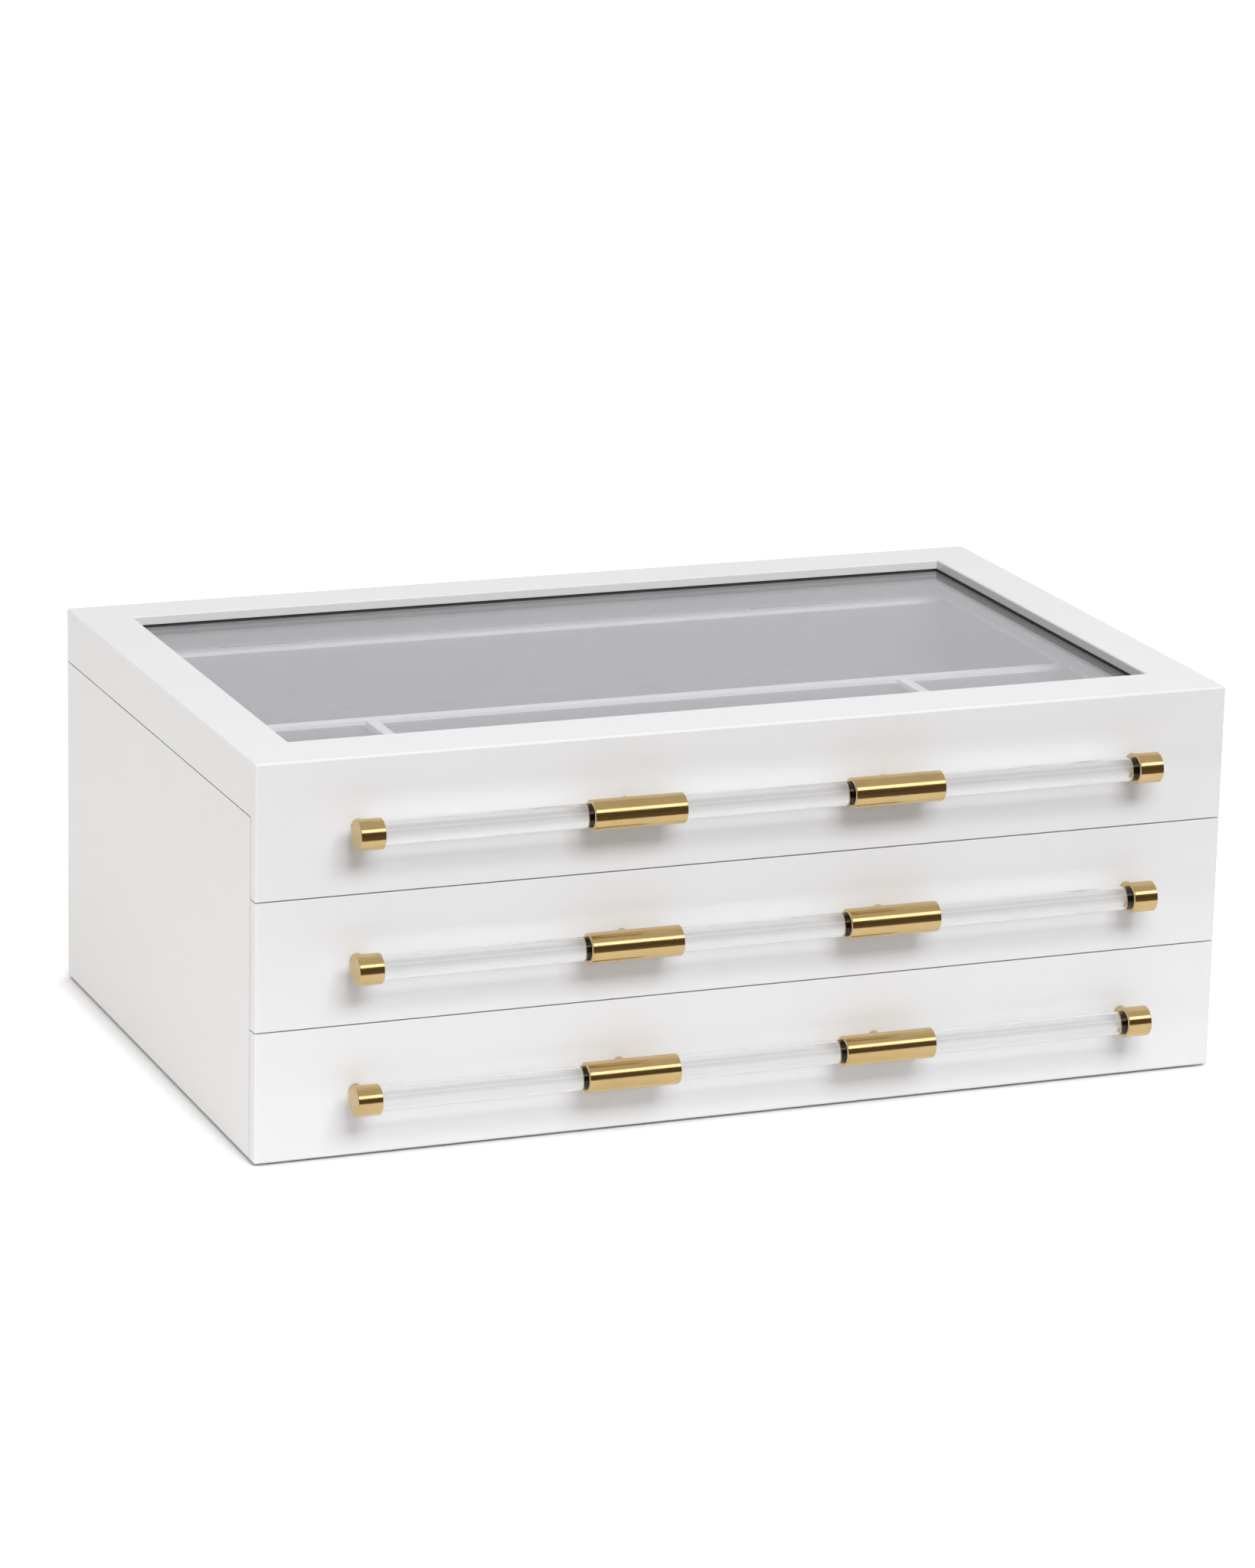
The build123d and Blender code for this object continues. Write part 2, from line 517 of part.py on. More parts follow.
def make_handle(prefix: str, z: float, seat_y: float) -> None:
    """A clear rod in four brass fittings: two open sleeves and two end caps, each on a post."""
    with BuildPart() as rod:
        add_round_x((-ROD_HALF_LENGTH, ROD_HALF_LENGTH), ROD_Y, z, ROD_RADIUS)
    save(rod, f"{prefix}_handle_rod")

    with BuildPart() as sleeves:
        for sleeve_x in SLEEVE_X:
            ends_x = (sleeve_x - SLEEVE_LENGTH / 2, sleeve_x + SLEEVE_LENGTH / 2)
            add_round_x(ends_x, ROD_Y, z, BRASS_RADIUS)
        fillet(sleeves.edges().filter_by(GeomType.CIRCLE), BRASS_EASING)
        add_round_x((-ROD_HALF_LENGTH, ROD_HALF_LENGTH), ROD_Y, z, BRASS_BORE_RADIUS, Mode.SUBTRACT)
        for sleeve_x in SLEEVE_X:
            add_round_y(sleeve_x, (ROD_Y, FRONT_Y), z, POST_RADIUS + RUNNING_CLEARANCE, Mode.SUBTRACT)
    save(sleeves, f"{prefix}_handle_sleeves")

    with BuildPart() as caps:
        for cap_x in CAP_X:
            ends_x = (cap_x - CAP_LENGTH / 2, cap_x + CAP_LENGTH / 2)
            add_round_x(ends_x, ROD_Y, z, BRASS_RADIUS)
        fillet(caps.edges().filter_by(GeomType.CIRCLE), BRASS_EASING)
        bore_half_length = ROD_HALF_LENGTH + ROD_END_GAP
        add_round_x((-bore_half_length, bore_half_length), ROD_Y, z, BRASS_BORE_RADIUS, Mode.SUBTRACT)
        for cap_x in CAP_X:
            add_round_y(cap_x, (ROD_Y, FRONT_Y), z, POST_RADIUS + RUNNING_CLEARANCE, Mode.SUBTRACT)
    save(caps, f"{prefix}_handle_end_caps")

    with BuildPart() as posts:
        for station_x in STATIONS_X:
            add_round_y(station_x, (ROD_Y, FRONT_Y), z, POST_RADIUS)
        rod_room = CAP_X[1] + CAP_LENGTH
        add_round_x((-rod_room, rod_room), ROD_Y, z, BRASS_BORE_RADIUS, Mode.SUBTRACT)
        bore_radius = HANDLE_SCREW_SHANK_RADIUS + RUNNING_CLEARANCE
        for station_x in STATIONS_X:
            add_round_y(station_x, (FRONT_Y - POST_BORE_DEPTH, FRONT_Y), z, bore_radius, Mode.SUBTRACT)
    save(posts, f"{prefix}_handle_posts")

    with BuildPart() as screws:
        add_handle_screws(seat_y, z)
    save(screws, f"{prefix}_handle_screws")


DRAWER_SCREW_Y = BOARD_BACK_Y + DRAWER_BOARD
make_front_board("lid_front_board", LID_FRONT_Z, BOARD_BACK_Y)
make_front_board("middle_front_board", MIDDLE_FRONT_Z, DRAWER_SCREW_Y)
make_front_board("bottom_front_board", BOTTOM_FRONT_Z, DRAWER_SCREW_Y)
make_handle("lid", middle(LID_FRONT_Z), BOARD_BACK_Y)
make_handle("middle", middle(MIDDLE_FRONT_Z), DRAWER_SCREW_Y)
make_handle("bottom", middle(BOTTOM_FRONT_Z), DRAWER_SCREW_Y)


# ---- Drawer boxes ----
def drawer_levels(bay_z: tuple) -> dict:
    """Levels of a drawer box that runs in the bay: its underside, rim, back rim and panel."""
    low = bay_z[0] + DRAWER_FLOOR_CLEARANCE
    rim = bay_z[1] - STOP_CLEAT_HEIGHT - STOP_CLEAT_GAP
    panel = (low + DRAWER_PANEL_RISE, low + DRAWER_PANEL_RISE + DRAWER_PANEL)
    return {"low": low, "rim": rim, "back_rim": rim + STOP_CATCH, "panel": panel}


def cut_panel_groove(panel_z: tuple) -> None:
    """Cut the space of the drawer's bottom panel out of the board being built."""
    panel_x = (-DRAWER_INNER_X - DRAWER_GROOVE, DRAWER_INNER_X + DRAWER_GROOVE)
    panel_y = (DRAWER_INNER_Y[0] - DRAWER_GROOVE, DRAWER_INNER_Y[1] + DRAWER_GROOVE)
    add_block(panel_x, panel_y, panel_z, Mode.SUBTRACT)


def make_drawer_box(prefix: str, bay_z: tuple, front_z: tuple) -> None:
    """Inner front, sides, back and grooved-in bottom panel of one drawer."""
    levels = drawer_levels(bay_z)
    with BuildPart() as inner_front:
        front_y = (BOARD_BACK_Y, DRAWER_SCREW_Y)
        add_block((-DRAWER_INNER_X, DRAWER_INNER_X), front_y, (levels["low"], levels["rim"]))
        cut_panel_groove(levels["panel"])
        add_handle_screws(DRAWER_SCREW_Y, middle(front_z), RUNNING_CLEARANCE, Mode.SUBTRACT)
    save(inner_front, f"{prefix}_box_front")

    for hand, side_name in ((-1, "left"), (1, "right")):
        faces_x = sorted((hand * DRAWER_INNER_X, hand * DRAWER_X))
        with BuildPart() as side:
            add_block(tuple(faces_x), (BOARD_BACK_Y, DRAWER_BACK_Y), (levels["low"], levels["rim"]))
            cut_panel_groove(levels["panel"])
        save(side, f"{prefix}_box_side_{side_name}")

    with BuildPart() as back:
        back_y = (DRAWER_INNER_Y[1], DRAWER_BACK_Y)
        add_block((-DRAWER_INNER_X, DRAWER_INNER_X), back_y, (levels["low"], levels["back_rim"]))
        cut_panel_groove(levels["panel"])
    save(back, f"{prefix}_box_back")

    with BuildPart() as panel:
        panel_x = (-DRAWER_INNER_X - DRAWER_GROOVE, DRAWER_INNER_X + DRAWER_GROOVE)
        panel_y = (DRAWER_INNER_Y[0] - DRAWER_GROOVE, DRAWER_INNER_Y[1] + DRAWER_GROOVE)
        add_block(panel_x, panel_y, levels["panel"])
    save(panel, f"{prefix}_box_panel")


make_drawer_box("middle", MIDDLE_BAY_Z, MIDDLE_FRONT_Z)
make_drawer_box("bottom", BOTTOM_BAY_Z, BOTTOM_FRONT_Z)

# ---- Middle drawer inside: ring rolls in front on the left, an open well behind them, one wide well ----
middle_levels = drawer_levels(MIDDLE_BAY_Z)
MIDDLE_DIVIDER_Z = (middle_levels["panel"][1], middle_levels["rim"] - DIVIDER_DROP)
MIDDLE_LINING_Z = (middle_levels["panel"][1], MIDDLE_DIVIDER_Z[1] - LINING_REVEAL)
MIDDLE_LONG_DIVIDER = (MIDDLE_DIVIDER_X - DRAWER_DIVIDER / 2, MIDDLE_DIVIDER_X + DRAWER_DIVIDER / 2)
RING_SECTION_X = (-DRAWER_INNER_X, MIDDLE_LONG_DIVIDER[0])
RING_SECTION_Y = (DRAWER_INNER_Y[0], DRAWER_INNER_Y[0] + RING_SECTION_DEPTH)
WELL_Y = (RING_SECTION_Y[1] + DRAWER_DIVIDER, DRAWER_INNER_Y[1])

with BuildPart() as middle_long_divider:
    add_block(MIDDLE_LONG_DIVIDER, DRAWER_INNER_Y, MIDDLE_DIVIDER_Z)
save(middle_long_divider, "middle_long_divider")

with BuildPart() as middle_cross_divider:
    add_block(RING_SECTION_X, (RING_SECTION_Y[1], WELL_Y[0]), MIDDLE_DIVIDER_Z)
save(middle_cross_divider, "middle_cross_divider")

with BuildPart() as middle_linings:
    add_tub(RING_SECTION_X, RING_SECTION_Y, MIDDLE_LINING_Z)
    add_tub(RING_SECTION_X, WELL_Y, MIDDLE_LINING_Z)
    add_tub((MIDDLE_LONG_DIVIDER[1], DRAWER_INNER_X), DRAWER_INNER_Y, MIDDLE_LINING_Z)
save(middle_linings, "middle_linings")

# Padded rolls across the ring section: a flat bed with a round top, one behind another.
ROLL_ROOM_X = (RING_SECTION_X[0] + LINING_THICKNESS, RING_SECTION_X[1] - LINING_THICKNESS)
ROLL_ROOM_Y = (RING_SECTION_Y[0] + LINING_THICKNESS, RING_SECTION_Y[1] - LINING_THICKNESS)
ROLL_PITCH = (ROLL_ROOM_Y[1] - ROLL_ROOM_Y[0]) / RING_ROLL_COUNT
ROLL_RADIUS = (ROLL_PITCH - RING_ROLL_GAP) / 2
ROLL_BED_Z = MIDDLE_LINING_Z[0] + LINING_THICKNESS

with BuildPart() as ring_rolls:
    with BuildSketch(Plane.YZ.offset(ROLL_ROOM_X[0] + RING_ROLL_GAP)):
        for index in range(RING_ROLL_COUNT):
            roll_y = ROLL_ROOM_Y[0] + (index + 0.5) * ROLL_PITCH
            bed_height = RING_ROLL_HEIGHT - ROLL_RADIUS
            with Locations((roll_y, ROLL_BED_Z + bed_height / 2)):
                Rectangle(2 * ROLL_RADIUS, bed_height)
            with Locations((roll_y, ROLL_BED_Z + bed_height)):
                Circle(ROLL_RADIUS)
    extrude(amount=ROLL_ROOM_X[1] - ROLL_ROOM_X[0] - 2 * RING_ROLL_GAP)
save(ring_rolls, "ring_rolls")

# ---- Bottom drawer inside: two long wells ----
bottom_levels = drawer_levels(BOTTOM_BAY_Z)
BOTTOM_DIVIDER_Z = (bottom_levels["panel"][1], bottom_levels["rim"] - DIVIDER_DROP)
BOTTOM_LINING_Z = (bottom_levels["panel"][1], BOTTOM_DIVIDER_Z[1] - LINING_REVEAL)
BOTTOM_DIVIDER_SPAN = (BOTTOM_DIVIDER_Y - DRAWER_DIVIDER / 2, BOTTOM_DIVIDER_Y + DRAWER_DIVIDER / 2)

with BuildPart() as bottom_divider:
    add_block((-DRAWER_INNER_X, DRAWER_INNER_X), BOTTOM_DIVIDER_SPAN, BOTTOM_DIVIDER_Z)
save(bottom_divider, "bottom_divider")

with BuildPart() as bottom_linings:
    wells_x = (-DRAWER_INNER_X, DRAWER_INNER_X)
    add_tub(wells_x, (DRAWER_INNER_Y[0], BOTTOM_DIVIDER_SPAN[0]), BOTTOM_LINING_Z)
    add_tub(wells_x, (BOTTOM_DIVIDER_SPAN[1], DRAWER_INNER_Y[1]), BOTTOM_LINING_Z)
save(bottom_linings, "bottom_linings")
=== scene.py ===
"""Looks of the jewellery chest: lacquered boards, suede linings, brass and clear rod handles."""

import logging
import math
from dataclasses import dataclass
from enum import Enum
from typing import ClassVar, Iterable, Sequence

import bmesh
import bpy
from mathutils import Matrix, Vector, noise


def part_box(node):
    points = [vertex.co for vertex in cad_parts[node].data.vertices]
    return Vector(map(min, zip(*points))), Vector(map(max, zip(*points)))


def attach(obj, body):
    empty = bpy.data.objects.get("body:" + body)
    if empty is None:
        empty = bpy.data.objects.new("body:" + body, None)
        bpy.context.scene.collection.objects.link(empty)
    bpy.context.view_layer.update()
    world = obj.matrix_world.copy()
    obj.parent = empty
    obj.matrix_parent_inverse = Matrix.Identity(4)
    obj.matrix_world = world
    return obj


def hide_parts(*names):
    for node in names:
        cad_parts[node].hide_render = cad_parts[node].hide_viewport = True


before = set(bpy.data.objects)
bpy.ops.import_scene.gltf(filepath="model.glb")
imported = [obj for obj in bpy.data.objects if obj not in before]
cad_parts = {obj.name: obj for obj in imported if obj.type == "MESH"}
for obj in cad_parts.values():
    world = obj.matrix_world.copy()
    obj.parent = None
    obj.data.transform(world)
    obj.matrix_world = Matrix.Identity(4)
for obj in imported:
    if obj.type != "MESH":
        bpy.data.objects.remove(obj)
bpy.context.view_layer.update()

LOG = logging.getLogger("jewellery_chest")

Colour = tuple[float, float, float]
Corner = tuple[float, float, float]
Range = tuple[float, float]
Socket = bpy.types.NodeSocket
Node = bpy.types.Node
Material = bpy.types.Material
Mesh = bpy.types.Mesh
Piece = bpy.types.Object

MM = 0.001
WELD = 0.01 * MM
SORT_DIGITS = 4
SMOOTH_BELOW = math.radians(38.0)
CORNER_STEPS = 4
LINING_THICKNESS = 1.2 * MM
RIPPLE_STEP = 6 * MM
RIPPLE_FROM = 1.5 * MM
RIPPLES_IN_A_METRE = 45.0
SCREW_HEAD_SIDES = 40
SCREW_SHANK_SIDES = 24
SLOT_OVERRUN = 2.4
NOISE_MIDDLE: Range = (0.3, 0.7)
NOISE_ROUGHNESS = 0.6
COLOUR_MIX_INPUTS = (0, 6, 7)
COLOUR_MIX_RESULT = 2
RANDOM_NUMBER_INPUTS = (2, 3)
RANDOM_NUMBER_RESULT = 1


# ---- Node trees ----
class Nodes:
    """Short calls for adding nodes to a tree and joining them."""

    def __init__(self, tree: bpy.types.NodeTree) -> None:
        """Take the tree that the nodes go in."""
        self.tree = tree

    def put(self, node: Node, key: str | int, value: object) -> None:
        """Set or link one input of a node.

        Args:
            node: The node.
            key: The input's name or number.
            value: A socket to link or a plain value.
        """
        if isinstance(value, Socket):
            self.tree.links.new(value, node.inputs[key])
        else:
            node.inputs[key].default_value = value

    def add(self, kind: str, **values: object) -> Node:
        """Add a node.

        Args:
            kind: The node's type name.
            values: Sockets or values for its inputs, with an underscore for each space in a name.

        Returns:
            The new node.
        """
        node = self.tree.nodes.new(kind)
        for key, value in values.items():
            self.put(node, key.replace("_", " "), value)
        return node

    def calc(self, operation: str, *values: object) -> Socket:
        """Work out a number.

        Args:
            operation: What a Math node does with the values.
            values: Sockets or numbers.

        Returns:
            The result socket.
        """
        node = self.add("ShaderNodeMath")
        node.operation = operation
        for index, value in enumerate(values):
            self.put(node, index, value)
        return node.outputs[0]

    def remap(self, value: Socket, between: Range, onto: Range = (0.0, 1.0)) -> Node:
        """Stretch one range of a value onto another, and hold it there beyond both ends.

        Args:
            value: The value.
            between: The range that is stretched.
            onto: The range that it becomes.

        Returns:
            The node, whose first output is the stretched value.
        """
        node = self.add("ShaderNodeMapRange")
        for index, setting in enumerate((value, *between, *onto)):
            self.put(node, index, setting)
        return node

    def blend(self, factor: Socket, first: Colour | Socket, second: Colour) -> Socket:
        """Mix two colours.

        Args:
            factor: 0 for the first colour, 1 for the second.
            first: Linear colour, or a colour socket.
            second: Linear colour.

        Returns:
            The mixed colour socket.
        """
        node = self.add("ShaderNodeMix")
        node.data_type = "RGBA"
        under = first if isinstance(first, Socket) else (*first, 1.0)
        for index, value in zip(COLOUR_MIX_INPUTS, (factor, under, (*second, 1.0))):
            self.put(node, index, value)
        return node.outputs[COLOUR_MIX_RESULT]


class ShaderTree(Nodes):
    """A material's node tree, with short calls for what the finishes share."""

    def __init__(self, name: str) -> None:
        """Start an empty material.

        Args:
            name: The material's name.
        """
        self.material = bpy.data.materials.new(name)
        self.material.use_nodes = True
        super().__init__(self.material.node_tree)
        self.tree.nodes.clear()
        self.output = self.add("ShaderNodeOutputMaterial")

    def place(self, scale: Corner = (1.0, 1.0, 1.0)) -> Socket:
        """Object coordinates, in metres, stretched by scale.

        Args:
            scale: How many times finer a pattern becomes along each axis.

        Returns:
            The mapped coordinate socket.
        """
        where = self.add("ShaderNodeTexCoord")
        mapped = self.add("ShaderNodeMapping", Vector=where.outputs["Object"], Scale=scale)
        return mapped.outputs["Vector"]

    def noise(self, where: Socket, scale: float, detail: float = 3.0) -> Socket:
        """Noise from 0 to 1, in waves a metre and with finer layers on top."""
        settings = {"Scale": scale, "Detail": detail, "Roughness": NOISE_ROUGHNESS}
        return self.add("ShaderNodeTexNoise", Vector=where, **settings).outputs["Fac"]

    def span(self, value: Socket, onto: Range = (0.0, 1.0)) -> Socket:
        """Stretch the middle of a noise onto a range."""
        return self.remap(value, NOISE_MIDDLE, onto).outputs[0]

    def bump(
        self, height: Socket, depth: float, strength: float = 1.0, under: Socket | None = None
    ) -> Socket:
        """Raise a surface by a height pattern.

        Args:
            height: Pattern from 0 to 1.
            depth: Metres from the lowest point to the highest.
            strength: How much of the effect shows.
            under: Another bump that this one lies on.

        Returns:
            The normal socket.
        """
        node = self.add("ShaderNodeBump", Height=height, Distance=depth, Strength=strength)
        if under is not None:
            self.put(node, "Normal", under)
        return node.outputs["Normal"]

    def choose(self, factor: Socket, first: Node, second: Node) -> Node:
        """Mix two shaders.

        Args:
            factor: 0 for the first shader, 1 for the second.
            first: A shader node.
            second: A shader node.

        Returns:
            The mixing node.
        """
        node = self.add("ShaderNodeMixShader")
        for index, socket in enumerate((factor, first.outputs[0], second.outputs[0])):
            self.put(node, index, socket)
        return node

    def finish(self, shader: Node) -> Material:
        """Join a shader to the output and hand out the finished material."""
        self.put(self.output, "Surface", shader.outputs[0])
        return self.material


# ---- Finishes, with scales in waves a metre and depths in metres ----
@dataclass(frozen=True)
class LacquerFinish:
    """Sprayed lacquer over board: nearly flat, with a trace of orange peel and polishing haze."""

    name: str
    light: Colour
    shade: Colour
    roughness: Range
    coat: float
    peel_depth: float
    grain_depth: float = 0.0
    cloud_scale: float = 9.0
    haze_scale: float = 60.0
    peel_scale: float = 340.0
    grain_scale: float = 40.0
    grain_stretch: Corner = (1.0, 14.0, 14.0)
    coat_roughness: float = 0.12
    ior: float = 1.48

    def material(self) -> Material:
        """Build the material.

        Returns:
            The lacquer.
        """
        shader = ShaderTree(self.name)
        where = shader.place()
        cloud = shader.noise(where, self.cloud_scale, detail=2.0)
        tint = shader.blend(shader.span(cloud), self.light, self.shade)
        haze = shader.span(shader.noise(where, self.haze_scale, detail=4.0), self.roughness)
        peel = shader.bump(shader.noise(where, self.peel_scale, detail=1.0), self.peel_depth)
        if self.grain_depth:
            grain = shader.noise(shader.place(self.grain_stretch), self.grain_scale, detail=5.0)
            peel = shader.bump(grain, self.grain_depth, under=peel)
        surface = shader.add(
            "ShaderNodeBsdfPrincipled", Base_Color=tint, Roughness=haze, Normal=peel, IOR=self.ior,
            Coat_Weight=self.coat, Coat_Roughness=self.coat_roughness,
        )
        return shader.finish(surface)


@dataclass(frozen=True)
class SuedeFinish:
    """Short-napped cloth: matt, brushed in patches, with a fine fibre grain."""

    name: str
    light: Colour
    shade: Colour
    sheen: float = 0.08
    nap_depth: float = 0.00025
    brushed_scale: float = 22.0
    nap_scale: float = 260.0
    fibre_scale: float = 1700.0
    patch_tint: Range = (0.0, 0.75)
    fibre_tint: Range = (-0.25, 0.25)
    nap_strength: float = 0.5
    fibre_strength: float = 0.7
    fibre_depth_share: float = 0.5
    roughness: float = 0.92
    sheen_roughness: float = 0.5
    specular: float = 0.2

    def material(self) -> Material:
        """Build the material.

        Returns:
            The suede.
        """
        shader = ShaderTree(self.name)
        where = shader.place()
        fibre = shader.noise(where, self.fibre_scale, detail=4.0)
        patches = shader.span(shader.noise(where, self.brushed_scale), self.patch_tint)
        both = shader.calc("ADD", patches, shader.span(fibre, self.fibre_tint))
        both.node.use_clamp = True
        tint = shader.blend(both, self.light, self.shade)
        nap = shader.bump(shader.noise(where, self.nap_scale), self.nap_depth, self.nap_strength)
        nap = shader.bump(fibre, self.nap_depth * self.fibre_depth_share, self.fibre_strength, nap)
        surface = shader.add(
            "ShaderNodeBsdfPrincipled", Base_Color=tint, Normal=nap, Roughness=self.roughness,
            Sheen_Weight=self.sheen, Sheen_Roughness=self.sheen_roughness,
            Specular_IOR_Level=self.specular,
        )
        return shader.finish(surface)


@dataclass(frozen=True)
class MetalFinish:
    """Turned and polished metal: bright, with faint lathe lines round its axis and thin smears."""

    name: str
    light: Colour
    shade: Colour
    roughness: Range
    line_stretch: Corner
    line_depth: float = 0.000006
    line_scale: float = 260.0
    smear_scale: float = 120.0
    line_strength: float = 0.6

    def material(self) -> Material:
        """Build the material.

        Returns:
            The metal.
        """
        shader = ShaderTree(self.name)
        lines = shader.noise(shader.place(self.line_stretch), self.line_scale)
        smear = shader.noise(shader.place(), self.smear_scale)
        tint = shader.blend(shader.span(smear), self.light, self.shade)
        surface = shader.add(
            "ShaderNodeBsdfPrincipled", Base_Color=tint, Metallic=1.0,
            Roughness=shader.span(smear, self.roughness),
            Normal=shader.bump(lines, self.line_depth, self.line_strength),
        )
        return shader.finish(surface)


@dataclass(frozen=True)
class RubberFinish:
    """Soft dull stuff such as foam tape or a bumper: fine pores and a trace of dust."""

    name: str
    light: Colour
    shade: Colour
    roughness: float = 0.7
    pore_scale: float = 1500.0
    pore_depth: float = 0.00008
    pore_strength: float = 0.6

    def material(self) -> Material:
        """Build the material.

        Returns:
            The rubber.
        """
        shader = ShaderTree(self.name)
        pores = shader.noise(shader.place(), self.pore_scale)
        tint = shader.blend(shader.span(pores), self.light, self.shade)
        dimpled = shader.bump(pores, self.pore_depth, self.pore_strength)
        surface = shader.add(
            "ShaderNodeBsdfPrincipled", Base_Color=tint, Normal=dimpled, Roughness=self.roughness
        )
        return shader.finish(surface)


@dataclass(frozen=True)
class ClearFinish:
    """Clear glass or acrylic that lets lamps light what is behind it.

    A rod throws the light that meets its rims aside, so less passes there than through its middle.
    """

    name: str
    tint: Colour
    ior: float
    roughness: Range
    passes: Range
    rim: Range = (0.05, 0.65)
    smear_scale: float = 45.0

    def material(self) -> Material:
        """Build the material.

        Returns:
            The clear material.
        """
        shader = ShaderTree(self.name)
        smear = shader.noise(shader.place(), self.smear_scale, detail=4.0)
        clear = shader.add(
            "ShaderNodeBsdfPrincipled", Base_Color=(*self.tint, 1.0), IOR=self.ior,
            Roughness=shader.span(smear, self.roughness), Transmission_Weight=1.0,
        )
        middle, edge = self.passes
        lamps = shader.add("ShaderNodeBsdfTransparent", Color=(middle, middle, middle, 1.0))
        if edge != middle:
            facing = shader.add("ShaderNodeLayerWeight", Blend=0.5).outputs["Facing"]
            shader.put(lamps, "Color", shader.remap(facing, self.rim, self.passes).outputs[0])
        path = shader.add("ShaderNodeLightPath")
        return shader.finish(shader.choose(path.outputs["Is Shadow Ray"], clear, lamps))


class Finish(Enum):
    """The finishes of the chest's pieces."""

    LACQUER = LacquerFinish(
        "white_satin_lacquer", (0.785, 0.785, 0.785), (0.772, 0.773, 0.775), (0.28, 0.36), 0.1, 0.0000012
    )
    PAINT = LacquerFinish(
        "white_board_paint", (0.74, 0.737, 0.73), (0.71, 0.707, 0.70), (0.45, 0.6), 0.0, 0.000004, 0.00001
    )
    SUEDE = SuedeFinish("grey_suede", (0.207, 0.202, 0.21), (0.174, 0.169, 0.176))
    FELT = SuedeFinish("grey_felt", (0.11, 0.11, 0.115), (0.07, 0.07, 0.075), 0.2, 0.0004)
    BRASS = MetalFinish(
        "turned_brass", (0.67, 0.49, 0.235), (0.61, 0.44, 0.2), (0.12, 0.18), (12.0, 1.0, 1.0)
    )
    HINGE_BRASS = MetalFinish(
        "hinge_brass", (0.62, 0.47, 0.235), (0.56, 0.42, 0.2), (0.2, 0.32), (1.0, 10.0, 1.0)
    )
    STEEL = MetalFinish("zinc_steel", (0.62, 0.63, 0.64), (0.52, 0.53, 0.55), (0.25, 0.4), (1.0, 1.0, 8.0))
    # Near-black tape under the glass's edge; its black paints the shadow line in the gap between the frame
    # and the glass.
    GASKET_AS_SHADOW_LINE = RubberFinish("black_tape_as_shadow_line", (0.012, 0.012, 0.012), (0.03, 0.03, 0.03))
    BUMPER = RubberFinish("clear_bumper", (0.7, 0.7, 0.69), (0.6, 0.6, 0.59), 0.35)
    GLASS = ClearFinish("float_glass", (0.965, 0.97, 0.975), 1.47, (0.0, 0.015), (0.93, 0.93))
    ACRYLIC = ClearFinish("clear_acrylic", (0.985, 0.988, 0.99), 1.49, (0.0, 0.015), (0.98, 0.35))


class Palette:
    """Builds each finish's material once and hands it out."""

    def __init__(self) -> None:
        """Start with no materials."""
        self.made: dict[Finish, Material] = {}

    def of(self, finish: Finish) -> Material:
        """The finish's material, built at its first use.

        Args:
            finish: The finish.

        Returns:
            Its material.
        """
        if finish not in self.made:
            self.made[finish] = finish.value.material()
        return self.made[finish]

    def dress(self, finish: Finish, nodes: Iterable[str]) -> None:
        """Give CAD nodes a finish.

        Args:
            finish: The finish.
            nodes: Names of the nodes that get it.
        """
        for name in nodes:
            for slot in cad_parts[name].material_slots:
                slot.material = self.of(finish)
            LOG.info("dressed %s in %s", name, finish.name)


# ---- Mesh helpers ----
@dataclass(frozen=True)
class Span:
    """A box in the chest's own frame, in metres."""

    low: Vector
    high: Vector

    @property
    def size(self) -> Vector:
        """Length along each axis."""
        return self.high - self.low

    @property
    def centre(self) -> Vector:
        """Middle of the box."""
        return (self.low + self.high) / 2

    def shrunk(self, by: float) -> "Span":
        """The box with every face moved in by the given distance."""
        return Span(self.low + Vector((by, by, by)), self.high - Vector((by, by, by)))


def solid_spans(node: str) -> list[Span]:
    """Boxes of the separate solids in a CAD node.

    Args:
        node: The node's name.

    Returns:
        One box for each solid, ordered by X, then Y, then Z.
    """
    work = bmesh.new()
    work.from_mesh(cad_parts[node].data)
    bmesh.ops.remove_doubles(work, verts=work.verts, dist=WELD)
    unseen = set(work.verts)
    spans = []
    while unseen:
        group = [unseen.pop()]
        for vertex in group:
            for edge in vertex.link_edges:
                other = edge.other_vert(vertex)
                if other in unseen:
                    unseen.remove(other)
                    group.append(other)
        places = [vertex.co.copy() for vertex in group]
        low = Vector(min(place[axis] for place in places) for axis in range(3))
        high = Vector(max(place[axis] for place in places) for axis in range(3))
        spans.append(Span(low, high))
    work.free()
    return sorted(spans, key=lambda span: tuple(round(value, SORT_DIGITS) for value in span.low))


def new_object(name: str, mesh: Mesh, material: Material) -> Piece:
    """Link a mesh into the scene as an object at the origin, smooth with sharp corners kept.

    Args:
        name: Name of the piece.
        mesh: Its mesh, in the chest's frame.
        material: Its finish.

    Returns:
        The new object.
    """
    if not mesh.materials:
        mesh.materials.append(material)
    for face in mesh.polygons:
        face.use_smooth = True
    mesh.set_sharp_from_angle(angle=SMOOTH_BELOW)
    piece = bpy.data.objects.new(name, mesh)
    bpy.context.scene.collection.objects.link(piece)
    return piece


